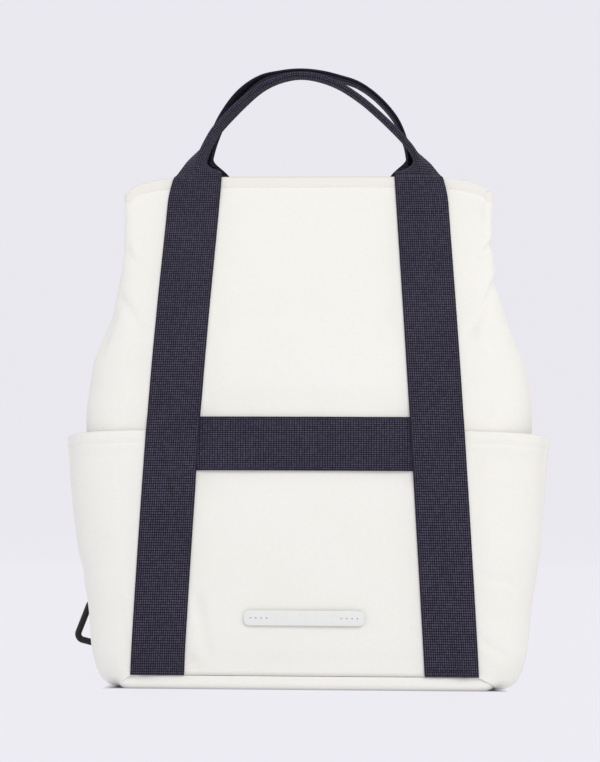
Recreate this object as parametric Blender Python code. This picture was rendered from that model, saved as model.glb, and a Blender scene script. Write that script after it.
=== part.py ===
"""Convertible backpack: a cloth body with an open mouth, two side pockets, a long strap
of webbing on each face that also makes its carrying handle, and two shoulder straps
that end in rings at the lower back corners.

Metres, +Z up. X runs to the right of someone who looks at the front, and the front
faces -Y. The origin is the middle of the flat underside.
"""
import math
from collections import namedtuple

import bmesh
import bpy
from mathutils import Vector

MM = 0.001

# Cloth body
BODY_HEIGHT = 390 * MM          # floor to the top edge at the middle of the mouth
BODY_HALF_WIDTH = 175 * MM      # widest cloth, just above the pockets
BODY_HALF_DEPTH = 82 * MM       # deepest cloth, at a third of the height
CORNER_RADIUS = 38 * MM         # upright corners between the faces and the sides
FACE_CROWN = 5 * MM             # how far the middle of a face swells past its corners
CLOTH_WALL = 2.0 * MM
MOUTH_CORNER_DROP = 12 * MM     # the top edge is lower at the corners of the mouth
MOUTH_HEM = 8.5 * MM
MOUTH_HEM_WALL = 3.0 * MM
HEM_STEP = 1 * MM               # height over which a wall thickens into its hem
PANEL_GAP = 0.3 * MM            # between cloth panels, where the real ones are sewn

# Base
BASE_HEIGHT = 10.2 * MM
BASE_FLOOR = 2.6 * MM
BASE_ROLL = 12 * MM             # how far the rolled edge curves in under the bag
BASE_ROLL_HEIGHT = 8 * MM
BASE_ROLL_STEPS = 5

# Side pockets
POCKET_TOP = 192.5 * MM         # at the strap
POCKET_TOP_DROP = 5 * MM        # the opening is lower at the middle of the side
POCKET_BULGE = 11 * MM          # how far its mouth stands off the body
POCKET_WALL = 1.5 * MM
POCKET_HEM = 9 * MM
POCKET_HEM_WALL = 2.2 * MM
POCKET_LAP = 8 * MM             # how far its edge tucks in under a strap
POCKET_GAP = 0.45 * MM

# Webbing
WEBBING_WIDTH = 40 * MM
WEBBING_WALL = 1.8 * MM
WEBBING_GAP = 0.35 * MM
WEBBING_SPACING_BASE = 218 * MM
WEBBING_SPACING_MOUTH = 173 * MM
WEBBING_RAMP = 14 * MM          # length over which a strap climbs onto what lies under it
EDGE_RAMP = 0.6                 # the same across it, as a share of half its width
CROSS_STRAP_MIDDLE = 182 * MM
CROSS_STRAP_LAP = 9 * MM

# Handles, where the strap is folded lengthwise in two
HANDLE_LAYER = 1.8 * MM
HANDLE_NOSE = 2.1 * MM          # outer radius of the lengthwise fold
FRONT_HANDLE_RISE = 85 * MM
BACK_HANDLE_RISE = 94 * MM
HANDLE_TOP_REACH = 21.5 * MM    # from the middle plane to the fold's edge at the top
HANDLE_FOLD_START = 4 * MM
HANDLE_FOLD_LENGTH = 20 * MM
HANDLE_STEPS = 30

# Name plate
PLATE_WIDTH = 89 * MM
PLATE_HEIGHT = 11.3 * MM
PLATE_WALL = 1.2 * MM
PLATE_CORNER = 4 * MM
PLATE_MIDDLE = 53.5 * MM
PLATE_GAP = 0.3 * MM
CORNER_STEPS = 4                # faces round a small corner, of the plate and the rings

# Rings and their tabs
RING_WIRE = 5 * MM
RING_LONG_BAR = 44 * MM
RING_SHORT_BAR = 36 * MM
RING_HEIGHT = 38 * MM
RING_SIDES = 8
RING_BEND = 5 * MM              # radius of the corners, to the middle of the wire
RING_LEAN = math.radians(14)
RING_MIDDLE = 39 * MM           # height of its middle
RING_TAB_WIDTH = 18 * MM
RING_TAB_WALL = 1.4 * MM
RING_TAB_LAP = 14 * MM          # sewn onto the strap
LEFT_TAB_REACH = 25 * MM        # from the strap's edge to the ring
RIGHT_TAB_REACH = 2 * MM        # this ring lies in behind the bag
RING_CLEARANCE = 0.35 * MM
HAIRPIN_STEPS = 6               # faces of a strip where it turns round a bar

# Shoulder straps
SHOULDER_WIDTH = 40 * MM
SHOULDER_END_WIDTH = 20 * MM
SHOULDER_WALL = 2.4 * MM
SHOULDER_GAP = 0.75 * MM
SHOULDER_END_LENGTH = 22 * MM   # turned back round the ring
SHOULDER_TOP = 352 * MM
SHOULDER_TOP_SPACING = 84 * MM
SHOULDER_SEWN_LENGTH = 34 * MM
SHOULDER_BOW = 42 * MM          # how far the straps stand off the back
SHOULDER_STEPS = 20
SHOULDER_TAPER = (0.55, 0.95)   # shares of the way down where it starts and ends to narrow

# Each row is one height of the body. Lengths are shares: height of BODY_HEIGHT, edge and
# side of BODY_HALF_WIDTH, depth of BODY_HALF_DEPTH, corner of CORNER_RADIUS and crown of
# FACE_CROWN. edge is where a face's corner ends and side is the middle of the side. crease
# is 0 for a round side and 1 for a side folded in to a sharp line.
Section = namedtuple("Section", "height edge side depth corner crown crease")
SECTIONS = (
    Section(0.027, 0.918, 0.930, 0.890, 0.90, 0.2, 0.0),
    Section(0.077, 0.946, 0.958, 0.940, 0.94, 0.6, 0.0),
    Section(0.154, 0.954, 0.968, 0.970, 1.00, 0.8, 0.0),
    Section(0.256, 0.963, 0.980, 0.990, 1.00, 1.0, 0.0),
    Section(0.372, 0.966, 0.989, 1.000, 1.00, 1.0, 0.0),
    Section(0.487, 0.971, 1.000, 0.988, 1.00, 1.0, 0.0),
    Section(0.564, 0.966, 1.000, 0.963, 0.97, 0.9, 0.0),
    Section(0.628, 0.949, 0.980, 0.927, 0.92, 0.8, 0.0),
    Section(0.672, 0.914, 0.934, 0.890, 0.84, 0.7, 0.0),
    Section(0.718, 0.874, 0.880, 0.848, 0.70, 0.6, 0.1),
    Section(0.769, 0.843, 0.823, 0.793, 0.54, 0.5, 0.3),
    Section(0.833, 0.820, 0.754, 0.707, 0.34, 0.3, 0.7),
    Section(0.910, 0.814, 0.697, 0.610, 0.21, 0.1, 0.9),
    Section(1.000, 0.814, 0.663, 0.524, 0.13, 0.0, 1.0),
)

# Bulge of a pocket by height, as a share of POCKET_TOP and of POCKET_BULGE
PocketRow = namedtuple("PocketRow", "height bulge")
POCKET_ROWS = (
    PocketRow(0.05, 0.00),
    PocketRow(0.16, 0.06),
    PocketRow(0.31, 0.24),
    PocketRow(0.52, 0.62),
    PocketRow(0.75, 0.90),
    PocketRow(1.00, 1.00),
)

# A handle's route as shares: across of half the spacing at the mouth, rise of its rise
HandleRow = namedtuple("HandleRow", "across rise")
FRONT_HANDLE = (
    HandleRow(-1.000, 0.000),
    HandleRow(-0.985, 0.110),
    HandleRow(-0.955, 0.220),
    HandleRow(-0.900, 0.360),
    HandleRow(-0.830, 0.490),
    HandleRow(-0.664, 0.695),
    HandleRow(-0.476, 0.864),
    HandleRow(-0.288, 0.960),
    HandleRow(-0.097, 1.000),
    HandleRow(0.094, 0.980),
    HandleRow(0.283, 0.913),
    HandleRow(0.472, 0.791),
    HandleRow(0.657, 0.632),
    HandleRow(0.800, 0.470),
    HandleRow(0.880, 0.355),
    HandleRow(0.945, 0.220),
    HandleRow(0.985, 0.100),
    HandleRow(1.000, 0.000),
)
BACK_HANDLE = (
    HandleRow(-1.000, 0.000),
    HandleRow(-0.990, 0.140),
    HandleRow(-0.960, 0.300),
    HandleRow(-0.900, 0.460),
    HandleRow(-0.800, 0.635),
    HandleRow(-0.637, 0.820),
    HandleRow(-0.459, 0.940),
    HandleRow(-0.281, 0.985),
    HandleRow(-0.099, 1.000),
    HandleRow(0.082, 0.985),
    HandleRow(0.262, 0.945),
    HandleRow(0.444, 0.877),
    HandleRow(0.624, 0.754),
    HandleRow(0.790, 0.585),
    HandleRow(0.900, 0.410),
    HandleRow(0.960, 0.250),
    HandleRow(0.990, 0.110),
    HandleRow(1.000, 0.000),
)

# A shoulder strap's route between its sewn top and the ring, as shares of the way across,
# of the way down and of SHOULDER_BOW
StrapRow = namedtuple("StrapRow", "across down bow")
STRAP_ROWS = (
    StrapRow(0.00, 0.00, 0.00),
    StrapRow(0.04, 0.08, 0.16),
    StrapRow(0.12, 0.22, 0.55),
    StrapRow(0.27, 0.41, 0.93),
    StrapRow(0.48, 0.60, 1.00),
    StrapRow(0.72, 0.79, 0.72),
    StrapRow(0.90, 0.93, 0.30),
    StrapRow(1.00, 1.00, 0.00),
)

# Lanes run round half the body: 0 is the middle of the front, 2 the middle of the back
SEAM_LANE = 0.40
CORNER_LANE = 0.52
SIDE_LANE = 0.72
POCKET_BULGE_START = 0.54       # a pocket starts to stand off the body at this lane
POCKET_BULGE_FULL = 0.78        # and stands off in full from this one
SIDE_LANES = (0.40, 0.46, 0.52, 0.57, 0.62, 0.67, 0.72, 0.79, 0.86, 0.93, 1.00)
FACE_LANES = (-1.0, -0.8, -0.6, -0.4, -0.2, 0.0, 0.2, 0.4, 0.6, 0.8, 1.0)
LOW_ROWS = (0.0, 0.016, 0.05, 0.11, 0.18, 0.27, 0.36, 0.45)
HIGH_ROWS = (0.53, 0.60, 0.655, 0.70, 0.745, 0.79, 0.85, 0.92)

CLOTH = ("coated_canvas", (0.93, 0.92, 0.88, 1.0), 0.75, 0.0)
NAVY = ("navy_webbing", (0.018, 0.020, 0.045, 1.0), 0.85, 0.0)
PLATE = ("plate_rubber", (0.78, 0.82, 0.85, 1.0), 0.45, 0.0)
RING = ("black_metal", (0.02, 0.018, 0.017, 1.0), 0.35, 0.9)


def mix(a, b, share):
    return a + (b - a) * share


def smooth_step(value):
    value = min(max(value, 0.0), 1.0)
    return value * value * (3 - 2 * value)


def smooth_value(rows, key, column, at):
    """Read one column of a table at a place between its rows, along a smooth curve."""
    keys = [getattr(row, key) for row in rows]
    values = [getattr(row, column) for row in rows]
    if at <= keys[0]:
        return values[0]
    if at >= keys[-1]:
        return values[-1]
    i = max(n for n in range(len(keys) - 1) if keys[n] <= at)
    slopes = []
    for n in (i, i + 1):
        low = max(n - 1, 0)
        high = min(n + 1, len(keys) - 1)
        slopes.append((values[high] - values[low]) / (keys[high] - keys[low]))
    span = keys[i + 1] - keys[i]
    t = (at - keys[i]) / span
    return ((2 * t ** 3 - 3 * t ** 2 + 1) * values[i] + (t ** 3 - 2 * t ** 2 + t) * span * slopes[0]
            + (3 * t ** 2 - 2 * t ** 3) * values[i + 1] + (t ** 3 - t ** 2) * span * slopes[1])


def smooth_route(points, count):
    """Places at even steps along a smooth curve through the points."""
    curve = []
    last = len(points) - 1
    for n in range(count + 1):
        at = n / count * last
        i = min(int(at), last - 1)
        t = at - i
        before = points[max(i - 1, 0)]
        after = points[min(i + 2, last)]
        curve.append(0.5 * (2 * points[i] + (points[i + 1] - before) * t
                            + (2 * before - 5 * points[i] + 4 * points[i + 1] - after) * t * t
                            + (3 * points[i] - before - 3 * points[i + 1] + after) * t ** 3))
    return curve


def body_size(column, z):
    return smooth_value(SECTIONS, "height", column, z / BODY_HEIGHT)


def strap_middle(z):
    """Distance from the bag's middle to the middle of a vertical strap."""
    share = (z - BASE_HEIGHT) / (BODY_HEIGHT - BASE_HEIGHT)
    return mix(WEBBING_SPACING_BASE, WEBBING_SPACING_MOUTH, min(max(share, 0.0), 1.0)) / 2


def corner_start(z):
    return body_size("edge", z) * BODY_HALF_WIDTH - body_size("corner", z) * CORNER_RADIUS


def face_depth(x, z):
    """Distance from the middle plane to the outside of the front or back."""
    start = corner_start(z)
    depth = body_size("depth", z) * BODY_HALF_DEPTH
    radius = body_size("corner", z) * CORNER_RADIUS
    if abs(x) <= start:
        return depth + body_size("crown", z) * FACE_CROWN * (1 - (x / start) ** 2)
    past = min((abs(x) - start) / radius, 1.0)
    return depth - radius + radius * math.sqrt(1 - past ** 2)


def lane_point(lane, z):
    """Outside of the body in plan, on the half with x > 0, for a lane from 0 to 2."""
    facing = -1
    if lane > 1:
        lane = 2 - lane
        facing = 1
    middle = strap_middle(z)
    start = corner_start(z)
    edge = body_size("edge", z) * BODY_HALF_WIDTH
    side = body_size("side", z) * BODY_HALF_WIDTH
    depth = body_size("depth", z) * BODY_HALF_DEPTH
    radius = body_size("corner", z) * CORNER_RADIUS
    crease = body_size("crease", z)
    if lane <= CORNER_LANE:
        if lane <= SEAM_LANE:
            x = middle * lane / SEAM_LANE
        else:
            x = mix(middle, start, (lane - SEAM_LANE) / (CORNER_LANE - SEAM_LANE))
        y = face_depth(x, z)
    elif lane <= SIDE_LANE:
        turn = (lane - CORNER_LANE) / (SIDE_LANE - CORNER_LANE) * math.pi / 2
        x = start + radius * math.sin(turn)
        y = depth - radius + radius * math.cos(turn)
    else:
        share = (lane - SIDE_LANE) / (1 - SIDE_LANE)
        x = mix(edge, side, mix(math.sin(share * math.pi / 2), share, crease))
        y = (depth - radius) * (1 - share)
    return Vector((x, facing * y, z))


def lane_outward(lane, z):
    """Level direction that points out of the cloth."""
    step = 0.01
    along = lane_point(min(lane + step, 2), z) - lane_point(max(lane - step, 0), z)
    if abs(lane - 1) < step:
        return Vector((1, 0, 0))
    return Vector((-along.y, along.x, 0)).normalized() * -1


def mouth_height(x):
    """Height of the top edge, which drops towards the corners of the mouth."""
    edge = SECTIONS[-1].edge * BODY_HALF_WIDTH
    return BODY_HEIGHT - MOUTH_CORNER_DROP * min(abs(x) / edge, 1.0) ** 8


def side_mouth_height(lane):
    """Height of the top edge along a side panel."""
    flat_lane = min(lane, 2 - lane)
    if flat_lane > CORNER_LANE:
        return BODY_HEIGHT - MOUTH_CORNER_DROP
    return mouth_height(lane_point(flat_lane, BODY_HEIGHT).x)


def row_heights(top, seam):
    """Heights of a panel's rows, with two rows for the hem under the top edge."""
    rows = [seam + (BODY_HEIGHT - seam) * share for share in LOW_ROWS + HIGH_ROWS]
    rows = [z for z in rows if z < BODY_HEIGHT - MOUTH_CORNER_DROP - 2 * MOUTH_HEM]
    return rows + [top - MOUTH_HEM - HEM_STEP, top - MOUTH_HEM, top]


def add_material(name, colour, roughness, metallic):
    material = bpy.data.materials.get(name) or bpy.data.materials.new(name)
    material.use_nodes = True
    shader = material.node_tree.nodes["Principled BSDF"]
    shader.inputs["Base Color"].default_value = colour
    shader.inputs["Roughness"].default_value = roughness
    shader.inputs["Metallic"].default_value = metallic
    return material


def finish_object(name, bm, material):
    """Put a bmesh into the scene as one named, closed piece."""
    bmesh.ops.remove_doubles(bm, verts=bm.verts, dist=0.01 * MM)
    bmesh.ops.recalc_face_normals(bm, faces=bm.faces)
    mesh = bpy.data.meshes.new(name)
    bm.to_mesh(mesh)
    bm.free()
    mesh.materials.append(add_material(*material))
    mesh.shade_smooth()
    mesh.set_sharp_from_angle(angle=math.radians(40))
    piece = bpy.data.objects.new(name, mesh)
    bpy.context.scene.collection.objects.link(piece)
    return piece


def skin_grid(name, outer, inner, material):
    """Close two matching grids of points, rows of the outside and of the inside, into a
    wall with rims all round."""
    bm = bmesh.new()
    sheets = []
    for grid in (outer, inner):
        sheets.append([[bm.verts.new(point) for point in row] for row in grid])
    rows = len(outer)
    columns = len(outer[0])
    for sheet in sheets:
        for r in range(rows - 1):
            for c in range(columns - 1):
                bm.faces.new((sheet[r][c], sheet[r][c + 1], sheet[r + 1][c + 1], sheet[r + 1][c]))
    rim = [(0, c) for c in range(columns)] + [(r, columns - 1) for r in range(1, rows)]
    rim += [(rows - 1, c) for c in range(columns - 2, -1, -1)] + [(r, 0) for r in range(rows - 2, 0, -1)]
    for n, (r, c) in enumerate(rim):
        next_r, next_c = rim[(n + 1) % len(rim)]
        bm.faces.new((sheets[0][r][c], sheets[0][next_r][next_c],
                      sheets[1][next_r][next_c], sheets[1][r][c]))
    return finish_object(name, bm, material)


def skin_sections(name, sections, material):
    """Loft closed loops of points one after another and cap both ends."""
    bm = bmesh.new()
    loops = [[bm.verts.new(point) for point in section] for section in sections]
    count = len(loops[0])
    for before, after in zip(loops, loops[1:]):
        for n in range(count):
            following = (n + 1) % count
            bm.faces.new((before[n], before[following], after[following], after[n]))
    bm.faces.new(loops[0])
    bm.faces.new(loops[-1])
    return finish_object(name, bm, material)


def hem_wall(z, top):
    return MOUTH_HEM_WALL if z > top - MOUTH_HEM - HEM_STEP / 2 else CLOTH_WALL


def add_face_panel(name, facing):
    """Cloth between the two straps of one face. facing is -1 for the front."""
    seam = BASE_HEIGHT + PANEL_GAP
    outer = []
    inner = []
    count = len(row_heights(BODY_HEIGHT, seam))
    for r in range(count):
        outer_row = []
        inner_row = []
        for lane in FACE_LANES:
            top = mouth_height(lane * strap_middle(BODY_HEIGHT))
            z = row_heights(top, seam)[r]
            x = lane * (strap_middle(z) - PANEL_GAP / 2)
            depth = face_depth(x, z)
            outer_row.append(Vector((x, facing * depth, z)))
            inner_row.append(Vector((x, facing * (depth - hem_wall(z, top)), z)))
        outer.append(outer_row)
        inner.append(inner_row)
    return skin_grid(name, outer, inner, CLOTH)


def add_side_panel(name, hand):
    """Cloth from the front strap round one side to the back strap. hand is -1 for left."""
    seam = BASE_HEIGHT + PANEL_GAP
    lanes = SIDE_LANES + tuple(2 - lane for lane in reversed(SIDE_LANES[:-1]))
    outer = []
    inner = []
    for r in range(len(row_heights(BODY_HEIGHT, seam))):
        outer_row = []
        inner_row = []
        for lane in lanes:
            top = side_mouth_height(lane)
            z = row_heights(top, seam)[r]
            point = lane_point(lane, z)
            if min(lane, 2 - lane) == SEAM_LANE:
                point.x += PANEL_GAP / 2
            inside = point - lane_outward(lane, z) * hem_wall(z, top)
            if min(lane, 2 - lane) == SEAM_LANE:
                inside.x = point.x
            outer_row.append(Vector((hand * point.x, point.y, z)))
            inner_row.append(Vector((hand * inside.x, inside.y, z)))
        outer.append(outer_row)
        inner.append(inner_row)
    return skin_grid(name, outer, inner, CLOTH)


def base_loop(z, inset):
    """The body's outline at the base seam, drawn in by an inset, as one closed loop."""
    quarter = [lane for lane in SIDE_LANES if lane > SEAM_LANE]
    half = [0.0, 0.2, SEAM_LANE] + quarter
    half += [2 - lane for lane in reversed(half[:-1])]
    right = []
    for lane in half:
        point = lane_point(lane, BASE_HEIGHT) - lane_outward(lane, BASE_HEIGHT) * inset
        right.append(Vector((point.x, point.y, z)))
    right[0].x = 0
    right[-1].x = 0
    return right + [Vector((-point.x, point.y, point.z)) for point in reversed(right[1:-1])]


def add_base():
    """Shallow tray: a flat underside, a rolled edge and a thin floor."""
    sections = []
    for n in range(BASE_ROLL_STEPS + 1):
        turn = n / BASE_ROLL_STEPS * math.pi / 2
        inset = BASE_ROLL * (1 - math.sin(turn))
        sections.append(base_loop(BASE_ROLL_HEIGHT * (1 - math.cos(turn)), inset))
    sections.append(base_loop(BASE_HEIGHT, 0))
    sections.append(base_loop(BASE_HEIGHT, CLOTH_WALL))
    sections.append(base_loop(BASE_FLOOR + CLOTH_WALL, CLOTH_WALL + BASE_ROLL / 4))
    sections.append(base_loop(BASE_FLOOR, BASE_ROLL))
    return skin_sections("base", sections, CLOTH)


def pocket_top(lane):
    """Height of a pocket's opening, lower at the middle of the side."""
    share = (min(lane, 2 - lane) - SEAM_LANE) / (1 - SEAM_LANE)
    return POCKET_TOP - POCKET_TOP_DROP * smooth_step(share)


def pocket_lane(z):
    """Lane of a pocket's upright edge, which tucks in under the strap."""
    middle = strap_middle(z)
    reach = WEBBING_WIDTH / 2 - POCKET_LAP
    share = reach / (corner_start(z) - middle)
    return mix(SEAM_LANE, CORNER_LANE, share)


def pocket_stand(lane, z):
    """Distance from the body's cloth to the outside of a pocket."""
    past_strap = (min(lane, 2 - lane) - POCKET_BULGE_START) / (POCKET_BULGE_FULL - POCKET_BULGE_START)
    round_share = smooth_step(past_strap)
    bulge = smooth_value(POCKET_ROWS, "height", "bulge", z / POCKET_TOP)
    return POCKET_GAP + POCKET_WALL + POCKET_BULGE * bulge * round_share


def add_pocket(name, hand):
    """Pocket wrapped round one side, sewn in at the base and under both straps."""
    seam = BASE_HEIGHT + PANEL_GAP
    inner_lanes = [lane for lane in SIDE_LANES if lane >= CORNER_LANE]
    rows = [seam + (BODY_HEIGHT - seam) * share for share in LOW_ROWS]
    rows = [z for z in rows if z < POCKET_TOP - POCKET_TOP_DROP - 2 * POCKET_HEM]
    outer = []
    inner = []
    for r in range(len(rows) + 3):
        outer_row = []
        inner_row = []
        lanes = [None] + inner_lanes + [2 - lane for lane in reversed(inner_lanes[:-1])] + [None]
        for n, lane in enumerate(lanes):
            top = pocket_top(SEAM_LANE if lane is None else lane)
            z = (rows + [top - POCKET_HEM - HEM_STEP, top - POCKET_HEM, top])[r]
            if lane is None:
                lane = pocket_lane(z) if n == 0 else 2 - pocket_lane(z)
            wall = POCKET_HEM_WALL if z > top - POCKET_HEM - HEM_STEP / 2 else POCKET_WALL
            out = lane_outward(lane, z)
            stand = pocket_stand(lane, z)
            wall = min(wall, stand - POCKET_GAP)
            point = lane_point(lane, z)
            outside = point + out * stand
            inside = point + out * (stand - wall)
            outer_row.append(Vector((hand * outside.x, outside.y, z)))
            inner_row.append(Vector((hand * inside.x, inside.y, z)))
        outer.append(outer_row)
        inner.append(inner_row)
    return skin_grid(name, outer, inner, CLOTH)


def webbing_lift(across, z, has_cross_strap):
    """How far a vertical strap is raised by the pocket edge or the cross strap under it.
    across runs from -1 at the strap's inner edge to 1 at its outer edge."""
    over_pocket = smooth_step(1 - (z - POCKET_TOP - HEM_STEP) / WEBBING_RAMP)
    over_pocket *= smooth_step((across + EDGE_RAMP / 6) / EDGE_RAMP)
    lift = over_pocket * (POCKET_GAP + POCKET_WALL)
    if has_cross_strap:
        away = abs(z - CROSS_STRAP_MIDDLE) - WEBBING_WIDTH / 2 - HEM_STEP
        over_cross = smooth_step(1 - away / WEBBING_RAMP) * smooth_step(1 - across / EDGE_RAMP)
        lift = max(lift, over_cross * (WEBBING_GAP + WEBBING_WALL))
    return lift


STRAP_COLUMNS = (-1.0, -0.5, 0.0, 0.5, 1.0)


def leg_section(z, hand, facing, has_cross_strap):
    """Flat section of a vertical strap where it lies on the cloth."""
    front = []
    back = []
    for across in STRAP_COLUMNS:
        x = strap_middle(z) + across * WEBBING_WIDTH / 2
        depth = face_depth(x, z) + WEBBING_GAP + webbing_lift(across, z, has_cross_strap)
        front.append(Vector((hand * x, facing * (depth + WEBBING_WALL), z)))
        back.append(Vector((hand * x, facing * depth, z)))
    return front + back[::-1]


def handle_section(place, outward, fold, nose_depth, facing):
    """Section of a handle: a strap folded lengthwise by a share, 0 flat and 1 closed. place
    is the fold's line, outward points away from the handle's loop."""
    turn = fold * math.pi / 2
    wall = mix(WEBBING_WALL, HANDLE_LAYER, fold)
    front = []
    back = []
    for across in STRAP_COLUMNS:
        side = 1 if across >= 0 else -1
        run = abs(across) * WEBBING_WIDTH / 2
        arc = min(run, turn * HANDLE_NOSE)
        bend = arc / HANDLE_NOSE
        straight = run - arc
        for points, radius in ((front, HANDLE_NOSE), (back, HANDLE_NOSE - wall)):
            out = radius * math.sin(bend) + straight * math.cos(turn)
            inwards = HANDLE_NOSE - radius * math.cos(bend) + straight * math.sin(turn)
            point = place + outward * (side * out)
            point.y = facing * (nose_depth - inwards)
            points.append(point)
    return front + back[::-1]


def add_webbing(name, facing, rows, rise, has_cross_strap):
    """One strap from the base seam over the mouth, round the handle and down again."""
    seam = BASE_HEIGHT + PANEL_GAP
    half = WEBBING_SPACING_MOUTH / 2
    cross_low = CROSS_STRAP_MIDDLE - WEBBING_WIDTH / 2 - HEM_STEP
    cross_high = CROSS_STRAP_MIDDLE + WEBBING_WIDTH / 2 + HEM_STEP
    leg = [seam + (BODY_HEIGHT - seam) * share for share in LOW_ROWS + HIGH_ROWS]
    leg += [cross_low - WEBBING_RAMP, cross_low - WEBBING_RAMP / 2, cross_low, POCKET_TOP + HEM_STEP]
    leg += [cross_high, cross_high + WEBBING_RAMP / 2, cross_high + WEBBING_RAMP]
    leg = sorted(leg) + [BODY_HEIGHT - HEM_STEP]
    mouth_reach = face_depth(half, BODY_HEIGHT) + WEBBING_GAP + WEBBING_WALL
    foot = BODY_HEIGHT + HEM_STEP
    points = [Vector((row.across * half, 0, foot + row.rise * rise)) for row in rows]
    route = smooth_route(points, HANDLE_STEPS)
    sections = [leg_section(z, -1, facing, has_cross_strap) for z in leg]
    for n, place in enumerate(route[1:-1], start=1):
        along = (route[n + 1] - route[n - 1]).normalized()
        outward = Vector((-along.z, 0, along.x))
        height = place.z - BODY_HEIGHT
        fold = smooth_step((height - HANDLE_FOLD_START) / HANDLE_FOLD_LENGTH)
        reach = mix(mouth_reach, HANDLE_TOP_REACH, smooth_step(height / rise))
        sections.append(handle_section(place, outward, fold, reach, facing))
    sections += [leg_section(z, 1, facing, has_cross_strap) for z in reversed(leg)]
    return skin_sections(name, sections, NAVY)


def add_cross_strap():
    """Level strap on the front, whose ends lie under the two vertical straps."""
    outer = []
    inner = []
    for up in (-0.5, 0.0, 0.5):
        z = CROSS_STRAP_MIDDLE + up * WEBBING_WIDTH
        end = strap_middle(z) - WEBBING_WIDTH / 2 + CROSS_STRAP_LAP
        outer_row = []
        inner_row = []
        for share in FACE_LANES:
            x = share * end
            depth = face_depth(x, z) + WEBBING_GAP
            outer_row.append(Vector((x, -depth - WEBBING_WALL, z)))
            inner_row.append(Vector((x, -depth, z)))
        outer.append(outer_row)
        inner.append(inner_row)
    return skin_grid("cross_strap", outer, inner, NAVY)


def add_name_plate():
    """Small blank plate with rounded corners, bent to the front panel."""
    end = []
    for n in range(CORNER_STEPS + 1):
        turn = n / CORNER_STEPS * math.pi / 2
        x = PLATE_WIDTH / 2 - PLATE_CORNER * (1 - math.cos(turn))
        end.append((x, PLATE_HEIGHT / 2 - PLATE_CORNER * (1 - math.sin(turn))))
    stations = [(-x, half) for x, half in end]
    stations += [(share * PLATE_WIDTH / 2, PLATE_HEIGHT / 2) for share in (-0.45, 0.0, 0.45)]
    stations += end[::-1]
    sections = []
    for x, half in stations:
        section = []
        for out, up in ((0, -half), (PLATE_WALL, -half), (PLATE_WALL, half), (0, half)):
            z = PLATE_MIDDLE + up
            section.append(Vector((x, -face_depth(x, z) - PLATE_GAP - out, z)))
        sections.append(section)
    return skin_sections("name_plate", sections, PLATE)


def rounded_loop(corners, radius, steps):
    """Closed route through rounded corners. Corners are points in one plane."""
    route = []
    for n, corner in enumerate(corners):
        to_before = (corners[n - 1] - corner).normalized()
        to_after = (corners[(n + 1) % len(corners)] - corner).normalized()
        half_angle = to_before.angle(to_after) / 2
        middle = (to_before + to_after).normalized()
        centre = corner + middle * (radius / math.sin(half_angle))
        start = corner + to_before * (radius / math.tan(half_angle)) - centre
        end = corner + to_after * (radius / math.tan(half_angle)) - centre
        turn = start.angle(end)
        for step in range(steps + 1):
            share = step / steps
            route.append(centre + (start * math.sin((1 - share) * turn)
                                   + end * math.sin(share * turn)) / math.sin(turn))
    return route


def ring_frame(hand, reach):
    """Middle of a ring and its two leaning directions: out from the bag, and up."""
    edge = strap_middle(RING_MIDDLE) + WEBBING_WIDTH / 2
    out = Vector((math.cos(RING_LEAN), 0, math.sin(RING_LEAN)))
    up = Vector((-math.sin(RING_LEAN), 0, math.cos(RING_LEAN)))
    bar = (RING_LONG_BAR + RING_SHORT_BAR) / 4
    depth = face_depth(edge - RING_TAB_LAP, RING_MIDDLE + RING_TAB_WIDTH / 2) + WEBBING_GAP + WEBBING_WALL
    depth += POCKET_GAP + POCKET_WALL + WEBBING_GAP + RING_TAB_WALL + RING_CLEARANCE
    middle = Vector((edge + reach + bar, depth + RING_WIRE / 2, RING_MIDDLE))
    for vector in (out, up, middle):
        vector.x *= hand
    return middle, out, up


def ring_corners(hand, reach):
    """Corners of the wire's middle line: lower inner, lower outer, upper outer, upper inner."""
    middle, out, up = ring_frame(hand, reach)
    low = (RING_LONG_BAR - RING_WIRE) / 2
    high = (RING_SHORT_BAR - RING_WIRE) / 2
    tall = (RING_HEIGHT - RING_WIRE) / 2
    shares = ((-low, -tall), (low, -tall), (high, tall), (-high, tall))
    return [middle + out * across + up * rise for across, rise in shares]


def add_ring(name, hand, reach):
    """Wire ring, wider at its lower bar, with rounded corners."""
    route = rounded_loop(ring_corners(hand, reach), RING_BEND, CORNER_STEPS)
    bm = bmesh.new()
    loops = []
    for n, place in enumerate(route):
        along = (route[(n + 1) % len(route)] - route[n - 1]).normalized()
        across = along.cross(Vector((0, 1, 0)))
        loop = []
        for side in range(RING_SIDES):
            turn = (side + 0.5) / RING_SIDES * 2 * math.pi
            offset = across * math.cos(turn) + Vector((0, 1, 0)) * math.sin(turn)
            loop.append(bm.verts.new(place + offset * RING_WIRE / 2))
        loops.append(loop)
    for n, loop in enumerate(loops):
        after = loops[(n + 1) % len(loops)]
        for side in range(RING_SIDES):
            following = (side + 1) % RING_SIDES
            bm.faces.new((loop[side], loop[following], after[following], after[side]))
    return finish_object(name, bm, RING)


def ribbon(name, route, across, widths, wall, material):
    """Flat strip along a route. across and widths give its cross direction and width at
    each place."""
    sections = []
    for n, place in enumerate(route):
        along = route[min(n + 1, len(route) - 1)] - route[max(n - 1, 0)]
        out = along.cross(across[n]).normalized() * wall / 2
        side = across[n] * widths[n] / 2
        sections.append([place - side - out, place + side - out, place + side + out, place - side + out])
    return skin_sections(name, sections, material)


def bar_hairpin(middle, pull, wall):
    """Places round a bar from its outer side to its side against the bag, for a strip that
    is pulled one way along the face."""
    radius = RING_WIRE / 2 + RING_CLEARANCE + wall / 2
    places = []
    for n in range(HAIRPIN_STEPS + 1):
        turn = n / HAIRPIN_STEPS * math.pi
        places.append(middle + Vector((0, radius * math.cos(turn), 0)) - pull * radius * math.sin(turn))
    return places


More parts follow.
